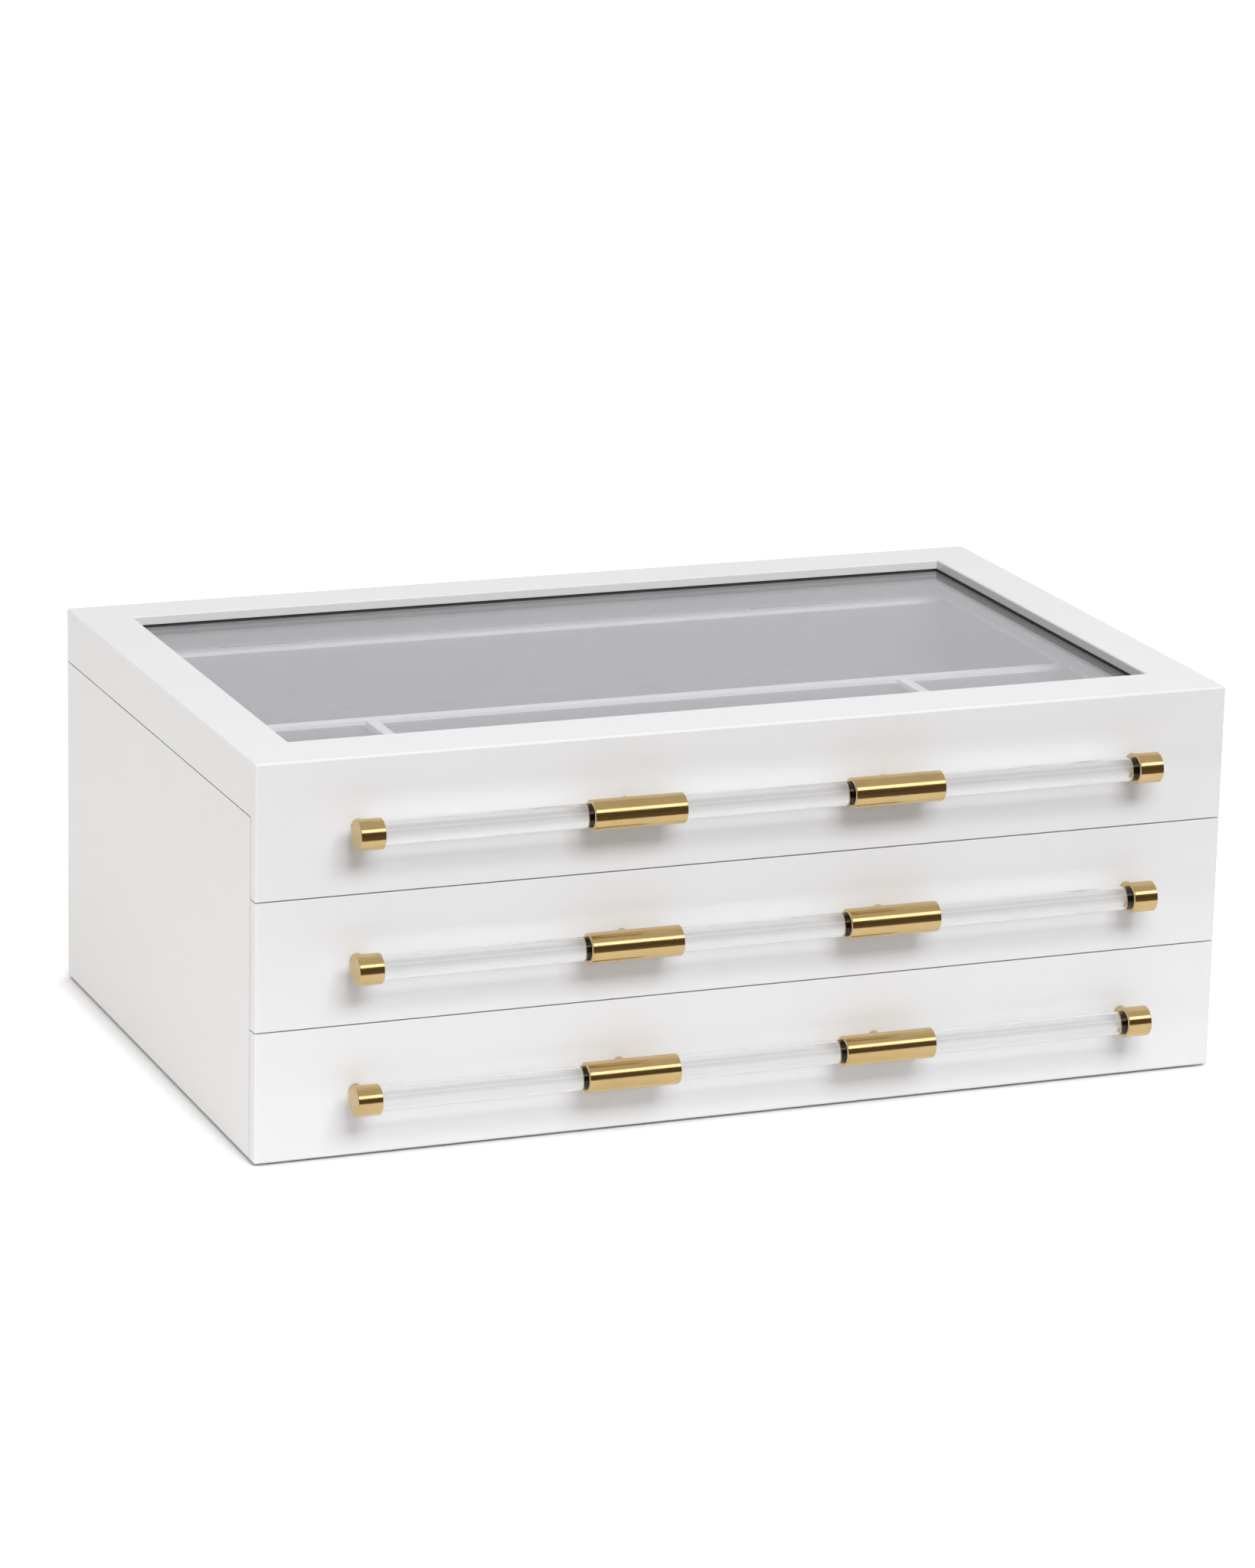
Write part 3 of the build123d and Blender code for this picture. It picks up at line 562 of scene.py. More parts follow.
def rounded_ring(span: Span, inset: float, radius: float, steps: int, sides: tuple[int, int]) -> list[Range]:
    """Points round a rectangle with rounded corners, seen from above.

    Args:
        span: The rectangle, as the X and Y sides of a box.
        inset: How far inside it the ring runs.
        radius: Corner radius.
        steps: Parts of each corner.
        sides: Parts of each straight side along X and along Y.

    Returns:
        X and Y of each point, going round against the clock.
    """
    low_x, low_y = span.low.x + inset, span.low.y + inset
    high_x, high_y = span.high.x - inset, span.high.y - inset
    radius = max(min(radius, (high_x - low_x) / 2 - WELD, (high_y - low_y) / 2 - WELD), WELD)
    centres = (
        (high_x - radius, low_y + radius, -90.0),
        (high_x - radius, high_y - radius, 0.0),
        (low_x + radius, high_y - radius, 90.0),
        (low_x + radius, low_y + radius, 180.0),
    )
    points: list[Range] = []
    for index, (x, y, start) in enumerate(centres):
        for step in range(steps + 1):
            angle = math.radians(start + 90.0 * step / steps)
            points.append((x + radius * math.cos(angle), y + radius * math.sin(angle)))
        next_x, next_y, next_start = centres[(index + 1) % 4]
        angle = math.radians(next_start)
        target = (next_x + radius * math.cos(angle), next_y + radius * math.sin(angle))
        parts = sides[1] if index % 2 == 0 else sides[0]
        here = points[-1]
        for part in range(1, parts):
            share = part / parts
            points.append((here[0] + (target[0] - here[0]) * share, here[1] + (target[1] - here[1]) * share))
    return points


def skin(name: str, work: bmesh.types.BMesh, loops: list[list], closed: bool) -> Mesh:
    """Join loops of points into a closed mesh with its faces outwards.

    Args:
        name: Name of the mesh.
        work: Where the points are; it is used up.
        loops: The loops, with equally many points in each.
        closed: Whether the last loop joins the first, instead of both being filled.

    Returns:
        The mesh.
    """
    following = loops[1:] + loops[:1] if closed else loops[1:]
    for first, second in zip(loops, following):
        count = len(first)
        for index in range(count):
            after = (index + 1) % count
            work.faces.new((first[index], first[after], second[after], second[index]))
    if not closed:
        work.faces.new(reversed(loops[0]))
        work.faces.new(loops[-1])
    bmesh.ops.recalc_face_normals(work, faces=work.faces)
    mesh = bpy.data.meshes.new(name)
    work.to_mesh(mesh)
    work.free()
    return mesh


def loft(name: str, span: Span, rings: Sequence[Corner], closed: bool, ripple: float = 0.0) -> Mesh:
    """Skin over rings that lie one inside or above the next.

    Args:
        name: Name of the mesh.
        span: The box whose upright sides the rings are inset from.
        rings: Inset, height over the box's floor and corner radius of each ring.
        closed: Whether the last ring joins the first, instead of both being filled.
        ripple: Metres that the cloth sways up and down.

    Returns:
        A closed mesh with its faces outwards.
    """
    sides = (max(int(span.size.x / RIPPLE_STEP), 2), max(int(span.size.y / RIPPLE_STEP), 2))
    work = bmesh.new()
    loops = []
    for inset, height, radius in rings:
        loop = []
        for x, y in rounded_ring(span, inset, radius, CORNER_STEPS, sides):
            place = Vector((x, y, span.low.z + height))
            sway = noise.noise(place * RIPPLES_IN_A_METRE) * ripple if inset > RIPPLE_FROM else 0.0
            loop.append(work.verts.new(place + Vector((0.0, 0.0, sway))))
        loops.append(loop)
    return skin(name, work, loops, closed)


# ---- Geometry Nodes ----
class GeometryTree(Nodes):
    """A Geometry Nodes tree with named inputs that ends in realized, finished geometry."""

    def __init__(self, name: str) -> None:
        """Start an empty tree.

        Args:
            name: The tree's name.
        """
        super().__init__(bpy.data.node_groups.new(name, "GeometryNodeTree"))
        for way in ("INPUT", "OUTPUT"):
            self.tree.interface.new_socket(name="Geometry", in_out=way, socket_type="NodeSocketGeometry")
        self.entry = self.add("NodeGroupInput")
        self.exit = self.add("NodeGroupOutput")

    def ask(self, name: str, kind: str) -> None:
        """Add a named input of a kind, which is a socket's type name without its NodeSocket prefix."""
        self.tree.interface.new_socket(name=name, in_out="INPUT", socket_type="NodeSocket" + kind)

    def given(self, name: str) -> Socket:
        """The socket that carries a named input."""
        return self.entry.outputs[name]

    def point(self, x: object = 0.0, y: object = 0.0, z: object = 0.0) -> Socket:
        """A vector from three sockets or numbers."""
        return self.add("ShaderNodeCombineXYZ", X=x, Y=y, Z=z).outputs[0]

    def random(self, low: object, high: float) -> Socket:
        """A random value for each point, drawn from the tree's Seed input.

        Args:
            low: Lowest value, as a socket or a number.
            high: Highest value.

        Returns:
            The value socket.
        """
        node = self.add("FunctionNodeRandomValue", Seed=self.given("Seed"))
        node.data_type = "FLOAT"
        for index, value in zip(RANDOM_NUMBER_INPUTS, (low, high)):
            self.put(node, index, value)
        return node.outputs[RANDOM_NUMBER_RESULT]

    def close(self, geometry: Socket) -> None:
        """End the tree in Realize Instances and Set Material.

        Args:
            geometry: The geometry that leaves the tree.
        """
        real = self.add("GeometryNodeRealizeInstances", Geometry=geometry).outputs[0]
        done = self.add("GeometryNodeSetMaterial", Geometry=real, Material=self.given("Material"))
        self.put(self.exit, 0, done.outputs[0])

    def run(self, name: str, points: Sequence[Vector], settings: dict[str, object]) -> Mesh:
        """Run the tree over a set of points.

        Args:
            name: Name of the result.
            points: Where the tree sets its pieces.
            settings: Value of each named input.

        Returns:
            A plain mesh of the result.
        """
        seeds = bpy.data.meshes.new(name + "_points")
        seeds.from_pydata([tuple(point) for point in points], [], [])
        host = bpy.data.objects.new(name + "_host", seeds)
        bpy.context.scene.collection.objects.link(host)
        modifier = host.modifiers.new("build", "NODES")
        modifier.node_group = self.tree
        for item in self.tree.interface.items_tree:
            if item.item_type == "SOCKET" and item.in_out == "INPUT" and item.name in settings:
                modifier[item.identifier] = settings[item.name]
        graph = bpy.context.evaluated_depsgraph_get()
        mesh = bpy.data.meshes.new_from_object(host.evaluated_get(graph), depsgraph=graph)
        host.modifiers.remove(modifier)
        bpy.data.objects.remove(host)
        mesh.name = name
        return mesh


def slotted_screw_tree() -> GeometryTree:
    """Make the tree that sets a slotted countersunk screw on each point, its head's flat at the point.

    Returns:
        The tree.
    """
    tree = GeometryTree("slotted_screws")
    for name in ("Head Radius", "Head Height", "Shank Radius", "Length", "Slot Width", "Slot Depth"):
        tree.ask(name, "Float")
    for name, kind in (("Turn", "Rotation"), ("Seed", "Int"), ("Material", "Material")):
        tree.ask(name, kind)
    head_height = tree.given("Head Height")
    head = tree.add(
        "GeometryNodeMeshCone", Vertices=SCREW_HEAD_SIDES, Radius_Top=tree.given("Head Radius"),
        Radius_Bottom=tree.given("Shank Radius"), Depth=head_height,
    )
    head_drop = tree.calc("MULTIPLY", head_height, -1.0)
    sunk = tree.add(
        "GeometryNodeTransform", Geometry=head.outputs["Mesh"], Translation=tree.point(z=head_drop)
    )
    shank_length = tree.calc("SUBTRACT", tree.given("Length"), head_height)
    shank = tree.add(
        "GeometryNodeMeshCylinder", Vertices=SCREW_SHANK_SIDES, Radius=tree.given("Shank Radius"),
        Depth=shank_length,
    )
    drop = tree.calc("MULTIPLY_ADD", shank_length, -0.5, head_drop)
    hung = tree.add("GeometryNodeTransform", Geometry=shank.outputs["Mesh"], Translation=tree.point(z=drop))
    slot_size = tree.point(
        tree.calc("MULTIPLY", tree.given("Head Radius"), SLOT_OVERRUN),
        tree.given("Slot Width"),
        tree.calc("MULTIPLY", tree.given("Slot Depth"), 2.0),
    )
    slot = tree.add("GeometryNodeMeshCube", Size=slot_size)
    cut = tree.add("GeometryNodeMeshBoolean")
    cut.operation = "DIFFERENCE"
    tree.put(cut, "Mesh 1", sunk.outputs[0])
    tree.put(cut, "Mesh 2", slot.outputs["Mesh"])
    whole = tree.add("GeometryNodeJoinGeometry")
    tree.put(whole, 0, cut.outputs[0])
    tree.put(whole, 0, hung.outputs[0])
    set_out = tree.add(
        "GeometryNodeInstanceOnPoints", Points=tree.given("Geometry"), Instance=whole.outputs[0],
        Rotation=tree.given("Turn"),
    )
    turn = tree.point(z=tree.random(0.0, math.pi))
    spun = tree.add("GeometryNodeRotateInstances", Instances=set_out.outputs[0], Rotation=turn)
    tree.close(spun.outputs[0])
    return tree


def padded_row_tree() -> GeometryTree:
    """Make the tree that sets a copy of one padded roll on each point, each a little different in size.

    Returns:
        The tree.
    """
    tree = GeometryTree("padded_row")
    asked = (("Roll", "Object"), ("Unevenness", "Float"), ("Seed", "Int"), ("Material", "Material"))
    for name, kind in asked:
        tree.ask(name, kind)
    roll = tree.add("GeometryNodeObjectInfo", Object=tree.given("Roll"))
    size = tree.random(tree.calc("SUBTRACT", 1.0, tree.given("Unevenness")), 1.0)
    set_out = tree.add(
        "GeometryNodeInstanceOnPoints", Points=tree.given("Geometry"), Instance=roll.outputs["Geometry"],
        Scale=tree.point(size, size, size),
    )
    tree.close(set_out.outputs[0])
    return tree


# ---- Soft pieces ----
@dataclass
class SuedeLining:
    """Suede over the floor and walls of one compartment, with a softly padded floor."""

    name: str
    body: str
    node: str
    span: Span
    play: float = 0.05 * MM
    wall: float = 1.1 * MM
    hem: float = 0.45 * MM
    corner: float = 2.6 * MM
    cove: float = 1.8 * MM
    floor: float = 1.1 * MM
    crown: float = 1.5 * MM
    ripple: float = 0.12 * MM
    outer_corner: float = 0.2 * MM
    middle_gap: float = 0.4 * MM
    turn_steps: int = 4
    wall_shares: tuple[float, ...] = (0.85, 0.5, 0.2)
    floor_rings: int = 14
    crown_rise: float = 3.0

    def rings(self) -> list[Corner]:
        """Inset, height over the floor board and corner radius of each ring.

        Returns:
            The rings, from the outside over the rim to the middle of the floor.
        """
        height = self.span.size.z - self.play
        top = height - self.hem
        rings = [(self.play, self.play, self.outer_corner), (self.play, top, self.outer_corner)]
        for step in range(1, self.turn_steps + 1):
            share = step / self.turn_steps
            inset = self.play + self.wall / 2 * (1 - math.cos(math.pi * share))
            rings.append((inset, top + self.hem * math.sin(math.pi * share), self.corner * share))
        inner = self.play + self.wall
        base = self.floor + self.cove
        rings.extend((inner, base + (top - base) * share, self.corner) for share in self.wall_shares)
        for step in range(self.turn_steps + 1):
            angle = math.pi / 2 * step / self.turn_steps
            inset = inner + self.cove * (1 - math.cos(angle))
            rings.append((inset, self.floor + self.cove * (1 - math.sin(angle)), self.corner))
        reach = min(self.span.size.x, self.span.size.y) / 2 - inner - self.cove
        for ring in range(1, self.floor_rings + 1):
            share = ring / self.floor_rings
            inset = inner + self.cove + (reach - self.middle_gap) * share
            rise = self.crown * (1 - (1 - min(share * self.crown_rise, 1.0)) ** 2)
            rings.append((inset, self.floor + rise, self.corner))
        return rings

    def build(self, palette: Palette) -> None:
        """Make the lining and hang it on its body.

        Args:
            palette: Where its finish comes from.
        """
        mesh = loft(self.name, self.span, self.rings(), False, self.ripple)
        piece = new_object(self.name, mesh, palette.of(Finish.SUEDE))
        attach(piece, self.body)
        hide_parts(self.node)
        LOG.info("made %s", self.name)


@dataclass
class SuedeBand:
    """A suede-wrapped band that runs round the inside of the lid, with soft edges."""

    name: str
    node: str
    edge: float
    body: str = "lid"
    play: float = 0.05 * MM
    corner: float = 0.3 * MM
    edge_steps: int = 4

    def rings(self, thickness: float, height: float) -> list[Corner]:
        """Inset, height and corner radius of the rings round the band's section.

        Args:
            thickness: Thickness of the band, from its outer side inwards.
            height: Height of the band.

        Returns:
            The rings, going once round the section.
        """
        rings = [(self.play, self.play, self.corner), (self.play, height - self.play, self.corner)]
        inner = thickness - self.edge
        for level, turn in ((height - self.play - self.edge, 1), (self.play + self.edge, -1)):
            for step in range(self.edge_steps + 1):
                share = step / self.edge_steps
                angle = math.pi / 2 * (1 - share if turn > 0 else share)
                rise = self.edge * math.sin(angle) * turn
                rings.append((inner + self.edge * math.cos(angle), level + rise, self.corner))
        return rings

    def build(self, palette: Palette) -> None:
        """Make the band in the place of its CAD solids.

        Args:
            palette: Where its finish comes from.
        """
        low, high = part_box(self.node)
        spans = solid_spans(self.node)
        thickness = LINING_THICKNESS if len(spans) == 1 else min(span.size.x for span in spans)
        span = Span(Vector(low), Vector(high))
        mesh = loft(self.name, span, self.rings(thickness, span.size.z), True)
        piece = new_object(self.name, mesh, palette.of(Finish.SUEDE))
        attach(piece, self.body)
        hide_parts(self.node)
        LOG.info("made %s", self.name)


@dataclass
class RingRolls:
    """A row of padded suede rolls with a slot for rings between each two."""

    node: str = "ring_rolls"
    body: str = "middle_drawer"
    play: float = 0.15 * MM
    end_round: float = 5.0 * MM
    end_flat: float = 0.18
    end_foot: float = 0.35
    end_bluntness: float = 2.4
    end_crowding: float = 0.55
    squareness: float = 0.8
    waist: float = 0.08
    dent: float = 0.25 * MM
    dents_in_a_metre: float = 95.0
    around: int = 40
    along: int = 72
    unevenness: float = 0.012
    seed: int = 7
    dents_from: ClassVar[Vector] = Vector((3.1, 0.0, 0.0))

    def section(self, width: float, height: float) -> list[Range]:
        """Across and up of the points round a roll: a round top on a base that draws in.

        Args:
            width: Width of the roll.
            height: Height of the roll.

        Returns:
            The points, going round once from the middle of the base.
        """
        points = []
        radius = width / 2
        for step in range(self.around):
            angle = 2 * math.pi * step / self.around - math.pi / 2
            across = math.copysign(abs(math.cos(angle)) ** self.squareness, math.cos(angle)) * radius
            up = math.sin(angle)
            level = (height - radius) + up * radius if up > 0 else (height - radius) * (1 + up)
            draw = 1.0 - self.waist * max(-up, 0.0) ** 2
            points.append((across * draw, level))
        return points

    def roll_mesh(self, length: float, width: float, height: float) -> Mesh:
        """One roll along X, standing on the origin.

        Args:
            length: Length of the roll.
            width: Its width.
            height: Its height.

        Returns:
            A closed mesh.
        """
        work = bmesh.new()
        loops = []
        for step in range(self.along + 1):
            share = step / self.along
            eased = 0.5 - 0.5 * math.cos(math.pi * share)
            x = (share + (eased - share) * self.end_crowding - 0.5) * length
            into_end = max(abs(x) - (length / 2 - self.end_round), 0.0) / self.end_round
            swell = math.sqrt(max(1.0 - into_end**self.end_bluntness, 0.0))
            swell = swell * (1 - self.end_flat) + self.end_flat
            loop = []
            for across, up in self.section(width, height):
                place = Vector((x, across * swell, up * (self.end_foot + (1 - self.end_foot) * swell)))
                press = noise.noise(place * self.dents_in_a_metre + self.dents_from) * self.dent
                outward = Vector((0.0, across, up - height / 2)).normalized()
                loop.append(work.verts.new(place + outward * press * swell))
            loops.append(loop)
        return skin("ring_roll", work, loops, False)

    def build(self, palette: Palette) -> None:
        """Make the rolls in the places of their CAD solids.

        Args:
            palette: Where their finish comes from.
        """
        spans = solid_spans(self.node)
        size = spans[0].shrunk(self.play).size
        width = size.y - 2 * self.dent
        one = bpy.data.objects.new("ring_roll_pattern", self.roll_mesh(size.x, width, size.z - self.dent))
        bpy.context.scene.collection.objects.link(one)
        feet = [Vector((s.centre.x, s.centre.y, s.low.z + self.play + self.dent)) for s in spans]
        material = palette.of(Finish.SUEDE)
        settings = {"Roll": one, "Unevenness": self.unevenness, "Seed": self.seed, "Material": material}
        mesh = padded_row_tree().run("ring_rolls_padded", feet, settings)
        bpy.data.objects.remove(one)
        piece = new_object("ring_rolls_padded", mesh, material)
        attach(piece, self.body)
        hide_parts(self.node)
        LOG.info("made %s", piece.name)


# ---- Fasteners ----
class Facing(Enum):
    """Which way the screws' heads look, as the turn from straight up."""

    UP = (0.0, 0.0, 0.0)
    DOWN = (math.pi, 0.0, 0.0)
    BACK = (-math.pi / 2, 0.0, 0.0)


@dataclass
class ScrewSet:
    """Slotted countersunk screws in the places of one CAD node's solids."""

    node: str
    body: str
    facing: Facing
    finish: Finish
    slot: str
    seed: int
    shank_radius: float
    head_height: float
    slot_share: float = 0.26
    slot_depth_share: float = 0.5
    sunk: float = 0.03 * MM

    def build(self, tree: GeometryTree, palette: Palette) -> None:
        """Make the screws.

        Args:
            tree: The tree that makes slotted screws.
            palette: Where their finish comes from.
        """
        spans = solid_spans(self.node)
        axis = 1 if self.facing is Facing.BACK else 2
        looks_low = self.facing is Facing.DOWN
        head_radius = spans[0].size.x / 2 - self.sunk
        length = spans[0].size[axis] - self.sunk
        heads = []
        for span in spans:
            head = span.centre
            head[axis] = span.low[axis] + self.sunk if looks_low else span.high[axis] - self.sunk
            heads.append(head)
        settings = {
            "Head Radius": head_radius,
            "Head Height": self.head_height,
            "Shank Radius": self.shank_radius,
            "Length": length - self.sunk,
            "Slot Width": head_radius * self.slot_share,
            "Slot Depth": self.head_height * self.slot_depth_share,
            "Turn": self.facing.value,
            "Seed": self.seed,
            "Material": palette.of(self.finish),
        }
        mesh = tree.run(self.node + "_slotted", heads, settings)
        piece = new_object(self.node + "_slotted", mesh, palette.of(self.finish))
        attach(piece, self.body)
        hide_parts(self.node)
        LOG.info("made %s", piece.name)


# ---- Sub-assemblies ----
@dataclass
class Handle:
    """A clear rod in brass sleeves and end caps on posts."""

    prefix: str
    body: str
    seed: int
    screw_shank: float = 1.5 * MM
    screw_head: float = 1.6 * MM

    def build(self, tree: GeometryTree, palette: Palette) -> None:
        """Dress the fittings and make the screws.

        Args:
            tree: The tree that makes slotted screws.
            palette: Where the finishes come from.
        """
        brass = [f"{self.prefix}_handle_{part}" for part in ("sleeves", "end_caps", "posts")]
        palette.dress(Finish.BRASS, brass)
        palette.dress(Finish.ACRYLIC, [f"{self.prefix}_handle_rod"])
        screws = ScrewSet(
            f"{self.prefix}_handle_screws", self.body, Facing.BACK, Finish.STEEL, "zinc_steel",
            self.seed, self.screw_shank, self.screw_head,
        )
        screws.build(tree, palette)


@dataclass
class HingePair:
    """Both brass butt hinges: leaves, pins and their slotted screws."""

    leaves: tuple[str, ...] = ("hinge_case_leaves", "hinge_lid_leaves", "hinge_pins")
    screw_shank: float = 0.9 * MM
    screw_head: float = 0.8 * MM

    def build(self, tree: GeometryTree, palette: Palette) -> None:
        """Dress the hinges and make their screws.

        Args:
            tree: The tree that makes slotted screws.
            palette: Where the finishes come from.
        """
        palette.dress(Finish.HINGE_BRASS, self.leaves)
        rows = (("hinge_case_screws", "case", Facing.UP, 3), ("hinge_lid_screws", "lid", Facing.DOWN, 5))
        for node, body, facing, seed in rows:
            screws = ScrewSet(
                node, body, facing, Finish.HINGE_BRASS, "polished_brass", seed,
                self.screw_shank, self.screw_head,
            )
            screws.build(tree, palette)


@dataclass
class Case:
    """The lacquered case with its divided tray."""

    body: str = "case"
    outer: tuple[str, ...] = ("case_side_left", "case_side_right", "case_back")
    tray: tuple[str, ...] = ("tray_front_rail", "tray_long_divider", "tray_short_dividers")
    inner: tuple[str, ...] = ("case_bottom", "drawer_shelf", "tray_floor", "drawer_stop_cleats")

    def build(self, palette: Palette) -> None:
        """Dress the boards and line the tray.

        Args:
            palette: Where the finishes come from.
        """
        palette.dress(Finish.LACQUER, self.outer + self.tray)
        palette.dress(Finish.PAINT, self.inner)
        palette.dress(Finish.FELT, ["base_felt"])
        palette.dress(Finish.BUMPER, ["lid_bumpers"])
        names = ("tray_lining_left", "tray_lining_rear", "tray_lining_centre", "tray_lining_right")
        for name, span in zip(names, solid_spans("tray_linings")):
            SuedeLining(name, self.body, "tray_linings", span).build(palette)


@dataclass
class Lid:
    """The glazed lid with its tall front board."""

    boards: tuple[str, ...] = (
        "lid_rail_front", "lid_rail_back", "lid_rail_left", "lid_rail_right", "lid_front_board",
    )

    def build(self, palette: Palette) -> None:
        """Dress the frame, the glass and its near-black gasket, which paints the shadow line under the
        glass's edge, and line the frame's inside.

        Args:
            palette: Where the finishes come from.
        """
        SuedeBand("bead_wrap", "glass_beads", edge=0.8 * MM).build(palette)
        SuedeBand("lid_lining", "lid_wall_lining", edge=0.45 * MM).build(palette)
        palette.dress(Finish.LACQUER, self.boards)
        palette.dress(Finish.GLASS, ["lid_glass"])
        palette.dress(Finish.GASKET_AS_SHADOW_LINE, ["glass_gasket"])


@dataclass
class Drawer:
    """One drawer: a lacquered front on a painted box with lined wells."""

    prefix: str
    dividers: tuple[str, ...]
    lining_names: tuple[str, ...]
    box_parts: tuple[str, ...] = ("box_front", "box_side_left", "box_side_right", "box_back", "box_panel")

    def build(self, palette: Palette) -> None:
        """Dress the drawer and line its wells.

        Args:
            palette: Where the finishes come from.
        """
        palette.dress(Finish.LACQUER, [f"{self.prefix}_front_board"])
        palette.dress(Finish.PAINT, [f"{self.prefix}_{part}" for part in self.box_parts])
        palette.dress(Finish.PAINT, self.dividers)
        node = f"{self.prefix}_linings"
        for name, span in zip(self.lining_names, solid_spans(node)):
            SuedeLining(name, f"{self.prefix}_drawer", node, span).build(palette)


# ---- Studio ----
@dataclass(frozen=True)
class SoftLamp:
    """A large soft rectangular lamp that points at the chest.

    A lamp either lights matt surfaces or only shows in glossy ones, so that each is set by itself.
    """

    name: str
    place: Corner
    size: Range
    radiance: float
    colour: Colour
    in_gloss: bool = False
    on_matt: bool = True

    def build(self, target: Vector) -> None:
        """Make the lamp.

        Args:
            target: Where it points.
        """
        lamp = bpy.data.lights.new(self.name, "AREA")
        lamp.shape = "RECTANGLE"
        lamp.size, lamp.size_y = self.size
        lamp.energy = self.radiance * math.pi * self.size[0] * self.size[1]
        lamp.color = self.colour
        holder = bpy.data.objects.new(self.name, lamp)
        holder.location = self.place
        holder.rotation_euler = (target - Vector(self.place)).to_track_quat("-Z", "Y").to_euler()
        holder.visible_camera = False
        holder.visible_transmission = False
        holder.visible_glossy = self.in_gloss
        holder.visible_diffuse = self.on_matt
        bpy.context.scene.collection.objects.link(holder)


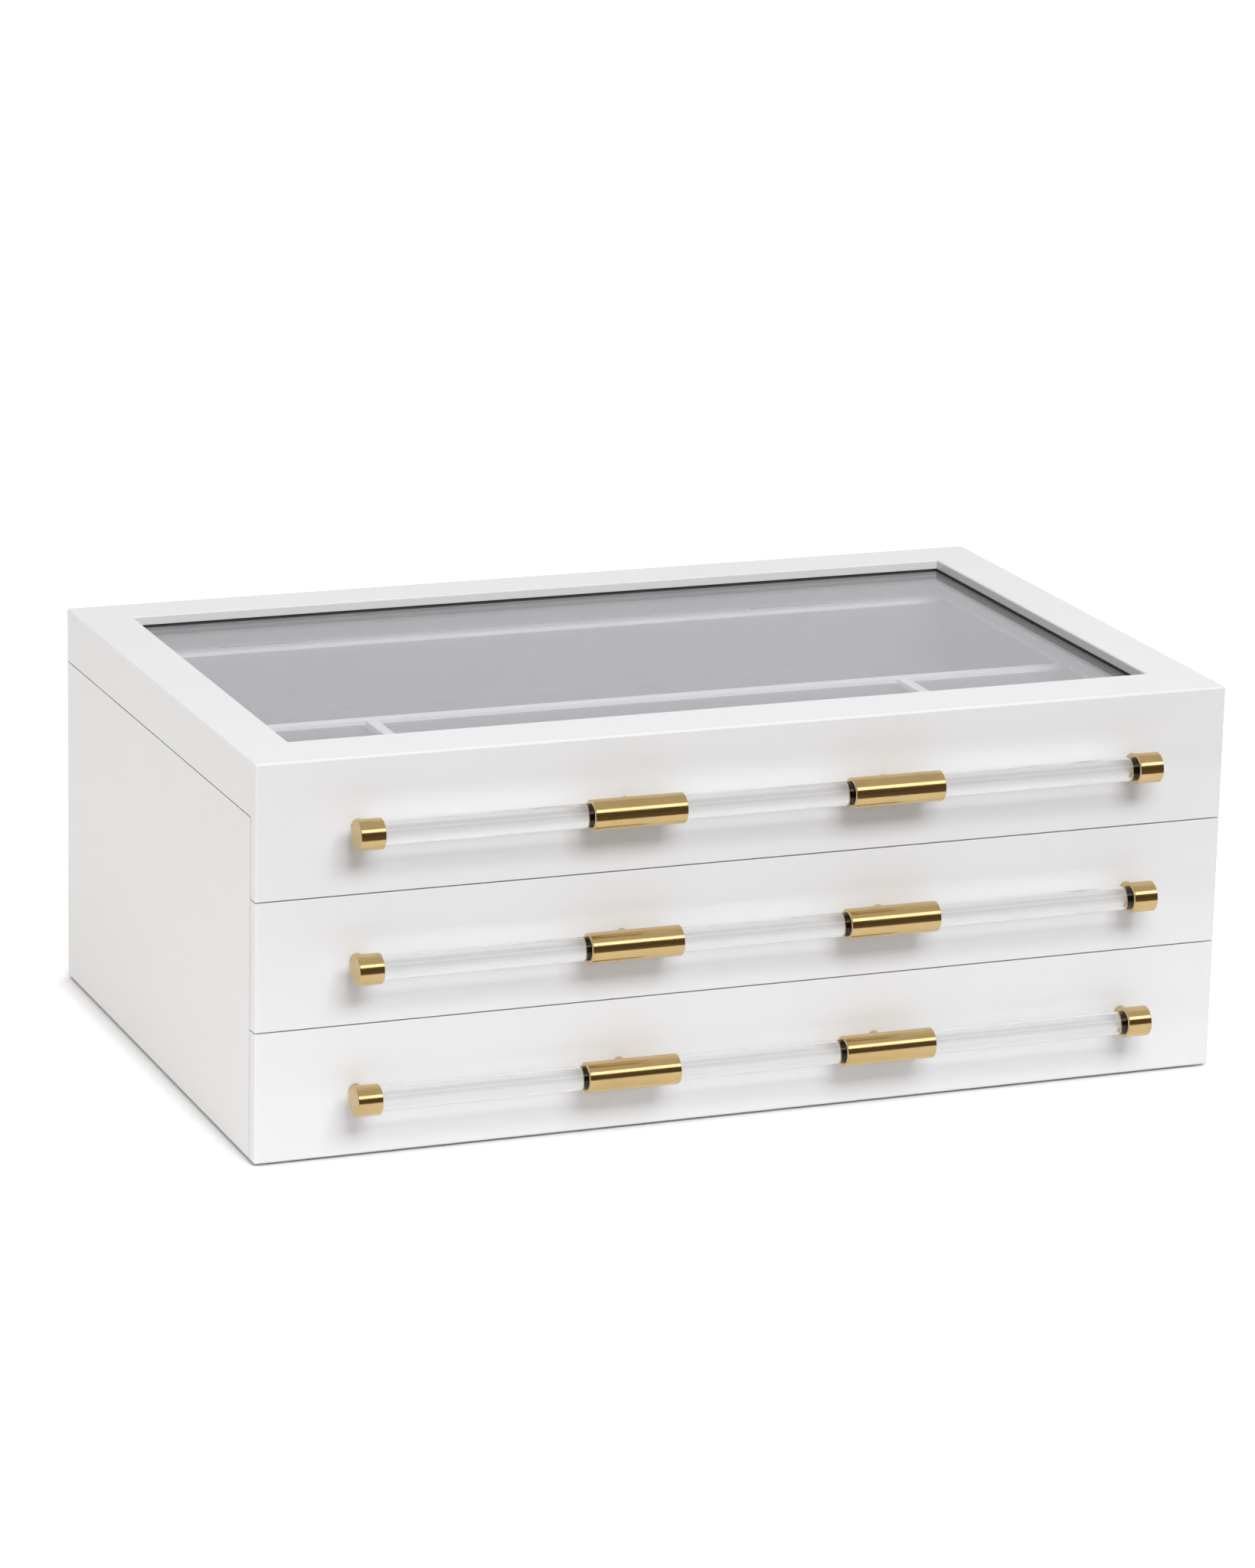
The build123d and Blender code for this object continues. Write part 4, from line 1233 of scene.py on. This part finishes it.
@dataclass
class Studio:
    """White table in a white room that is dark in front, with soft lamps and the camera."""

    camera_place: Corner = (-0.85883, -2.1473, 0.74608)
    azimuth: float = -21.74
    elevation: float = 15.57
    roll: float = 1.31
    lens: float = 134.736
    sensor: float = 36.0
    table_half: float = 14.0
    table_white: Colour = (0.93, 0.93, 0.93)
    table_bounce: Colour = (0.73, 0.735, 0.75)
    table_glow: float = 0.4
    # Reach and fade of the painted contact shadow on the table, where pieces stand on it.
    painted_contact_shadow_reach: float = 0.015
    painted_contact_shadow_fade: Range = (0.5, 1.0)
    flag_front: float = -0.35
    flag_rise: float = 0.0005
    lamps: tuple[SoftLamp, ...] = (
        SoftLamp("key_lamp", (0.0, -1.95, 1.72), (1.4, 0.66), 15.0, (0.955, 0.97, 1.0)),
        SoftLamp("front_fill", (-0.5, -2.4, 0.75), (2.6, 1.0), 1.0, (0.955, 0.97, 1.0)),
        SoftLamp("low_left_fill", (-1.6, -0.1, 0.075), (2.4, 0.15), 7.4, (1.0, 0.965, 0.92)),
        SoftLamp("gloss_strip", (0.75, -1.9, 1.6), (2.2, 0.8), 1.9, (1.0, 1.0, 1.0), True, False),
    )
    white: Colour = (1.0, 0.975, 1.02)
    left: Colour = (0.6, 0.59, 0.58)
    dark: Colour = (0.1, 0.078, 0.055)
    overhead: Colour = (0.625, 0.61, 0.59)
    left_from: Range = (0.1, 0.7)
    overhead_from: Range = (0.45, 0.65)
    front_from: Range = (0.35, 0.60)
    backdrop: Colour = (1.0, 1.0, 1.0)

    def build_table(self) -> None:
        """Lay the pale table, a little brighter to the eye than it lights, with a painted contact shadow
        where pieces meet it.
        """
        table = self.add_sheet("table", self.table_half, 0.0)
        shader = ShaderTree("white_table")
        path = shader.add("ShaderNodeLightPath")
        dimmed = shader.blend(path.outputs["Is Diffuse Ray"], self.table_white, self.table_bounce)
        surface = shader.add("ShaderNodeBsdfDiffuse", Color=dimmed)
        # Painted contact shadow: ambient occlusion takes the table's glow away where pieces stand on it.
        painted_shadow_mask = shader.add("ShaderNodeAmbientOcclusion", Distance=self.painted_contact_shadow_reach)
        glow_outside_painted_shadow = shader.remap(painted_shadow_mask.outputs["AO"], self.painted_contact_shadow_fade, (0.0, self.table_glow))
        glow = shader.add("ShaderNodeEmission", Strength=glow_outside_painted_shadow.outputs[0])
        both = shader.add("ShaderNodeAddShader")
        shader.put(both, 0, surface.outputs[0])
        shader.put(both, 1, glow.outputs[0])
        seen = shader.choose(path.outputs["Is Camera Ray"], surface, both)
        table.data.materials.append(shader.finish(seen))

    def build_flag(self) -> None:
        """Lay a dark card over the far front of the table, where only the chest sees it."""
        flag = self.add_sheet("dark_card", self.flag_front, self.flag_rise)
        shader = ShaderTree("dark_card")
        card = shader.add("ShaderNodeBsdfDiffuse", Color=(*self.dark, 1.0))
        clear = shader.add("ShaderNodeBsdfTransparent")
        side = shader.add("ShaderNodeNewGeometry")
        flag.data.materials.append(shader.finish(shader.choose(side.outputs["Backfacing"], card, clear)))
        flag.visible_camera = False
        flag.visible_shadow = False
        flag.visible_transmission = False

    def add_sheet(self, name: str, back: float, rise: float) -> Piece:
        """Lay a flat sheet that belongs to the studio.

        Args:
            name: Name of the sheet.
            back: Where its back edge lies; the others lie at the table's edges.
            rise: Its height.

        Returns:
            The sheet.
        """
        half = self.table_half
        corners = [(-half, -half, rise), (half, -half, rise), (half, back, rise), (-half, back, rise)]
        mesh = bpy.data.meshes.new(name)
        mesh.from_pydata(corners, [], [(0, 1, 2, 3)])
        sheet = bpy.data.objects.new(name, mesh)
        bpy.context.scene.collection.objects.link(sheet)
        return sheet

    def build_room(self) -> None:
        """Make the room: white at the sides and back, dimmer overhead, dark in front."""
        world = bpy.data.worlds.new("room")
        bpy.context.scene.world = world
        world.use_nodes = True
        room = Nodes(world.node_tree)
        where = room.add("ShaderNodeTexCoord").outputs["Generated"]
        parts = room.add("ShaderNodeSeparateXYZ", Vector=where).outputs
        under: Colour | Socket = self.white
        steps = (
            (room.calc("MULTIPLY", parts["X"], -1.0), self.left_from, self.left),
            (room.calc("MULTIPLY", parts["Y"], -1.0), self.front_from, self.dark),
            (parts["Z"], self.overhead_from, self.overhead),
        )
        for value, between, tone in steps:
            ramp = room.remap(value, between)
            ramp.interpolation_type = "SMOOTHSTEP"
            under = room.blend(ramp.outputs[0], under, tone)
        path = room.add("ShaderNodeLightPath")
        under = room.blend(path.outputs["Is Camera Ray"], under, self.backdrop)
        room.put(room.tree.nodes["Background"], "Color", under)

    def build_camera(self) -> None:
        """Place the camera."""
        turn, lift, tilt = (math.radians(angle) for angle in (self.azimuth, self.elevation, self.roll))
        back = Vector((math.sin(turn) * math.cos(lift), -math.cos(turn) * math.cos(lift), math.sin(lift)))
        level = Vector((math.cos(turn), math.sin(turn), 0.0))
        upright = back.cross(level)
        right = level * math.cos(tilt) + upright * math.sin(tilt)
        up = upright * math.cos(tilt) - level * math.sin(tilt)
        optics = bpy.data.cameras.new("camera")
        optics.sensor_width = self.sensor
        optics.lens = self.lens
        camera = bpy.data.objects.new("camera", optics)
        axes = Matrix((right, up, back)).transposed().to_4x4()
        camera.matrix_world = Matrix.Translation(Vector(self.camera_place)) @ axes
        bpy.context.scene.collection.objects.link(camera)
        bpy.context.scene.camera = camera

    def build(self) -> None:
        """Make the whole studio."""
        bpy.context.scene.view_settings.view_transform = "Standard"
        self.build_table()
        self.build_flag()
        self.build_room()
        self.build_camera()
        target = Vector((0.0, 0.0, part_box("lid_glass")[1].z / 2))
        for lamp in self.lamps:
            lamp.build(target)


def main() -> None:
    """Build every sub-assembly of the chest, then the studio round it."""
    logging.basicConfig(level=logging.INFO, format="%(name)s: %(message)s")
    palette = Palette()
    screw_tree = slotted_screw_tree()
    Case().build(palette)
    Lid().build(palette)
    HingePair().build(screw_tree, palette)
    Handle("lid", "lid", seed=11).build(screw_tree, palette)
    Handle("middle", "middle_drawer", seed=12).build(screw_tree, palette)
    Handle("bottom", "bottom_drawer", seed=13).build(screw_tree, palette)
    middle_wells = ("middle_lining_rings", "middle_lining_well", "middle_lining_wide")
    Drawer("middle", ("middle_long_divider", "middle_cross_divider"), middle_wells).build(palette)
    Drawer("bottom", ("bottom_divider",), ("bottom_lining_front", "bottom_lining_rear")).build(palette)
    RingRolls().build(palette)
    Studio().build()


if __name__ == "__main__":
    main()
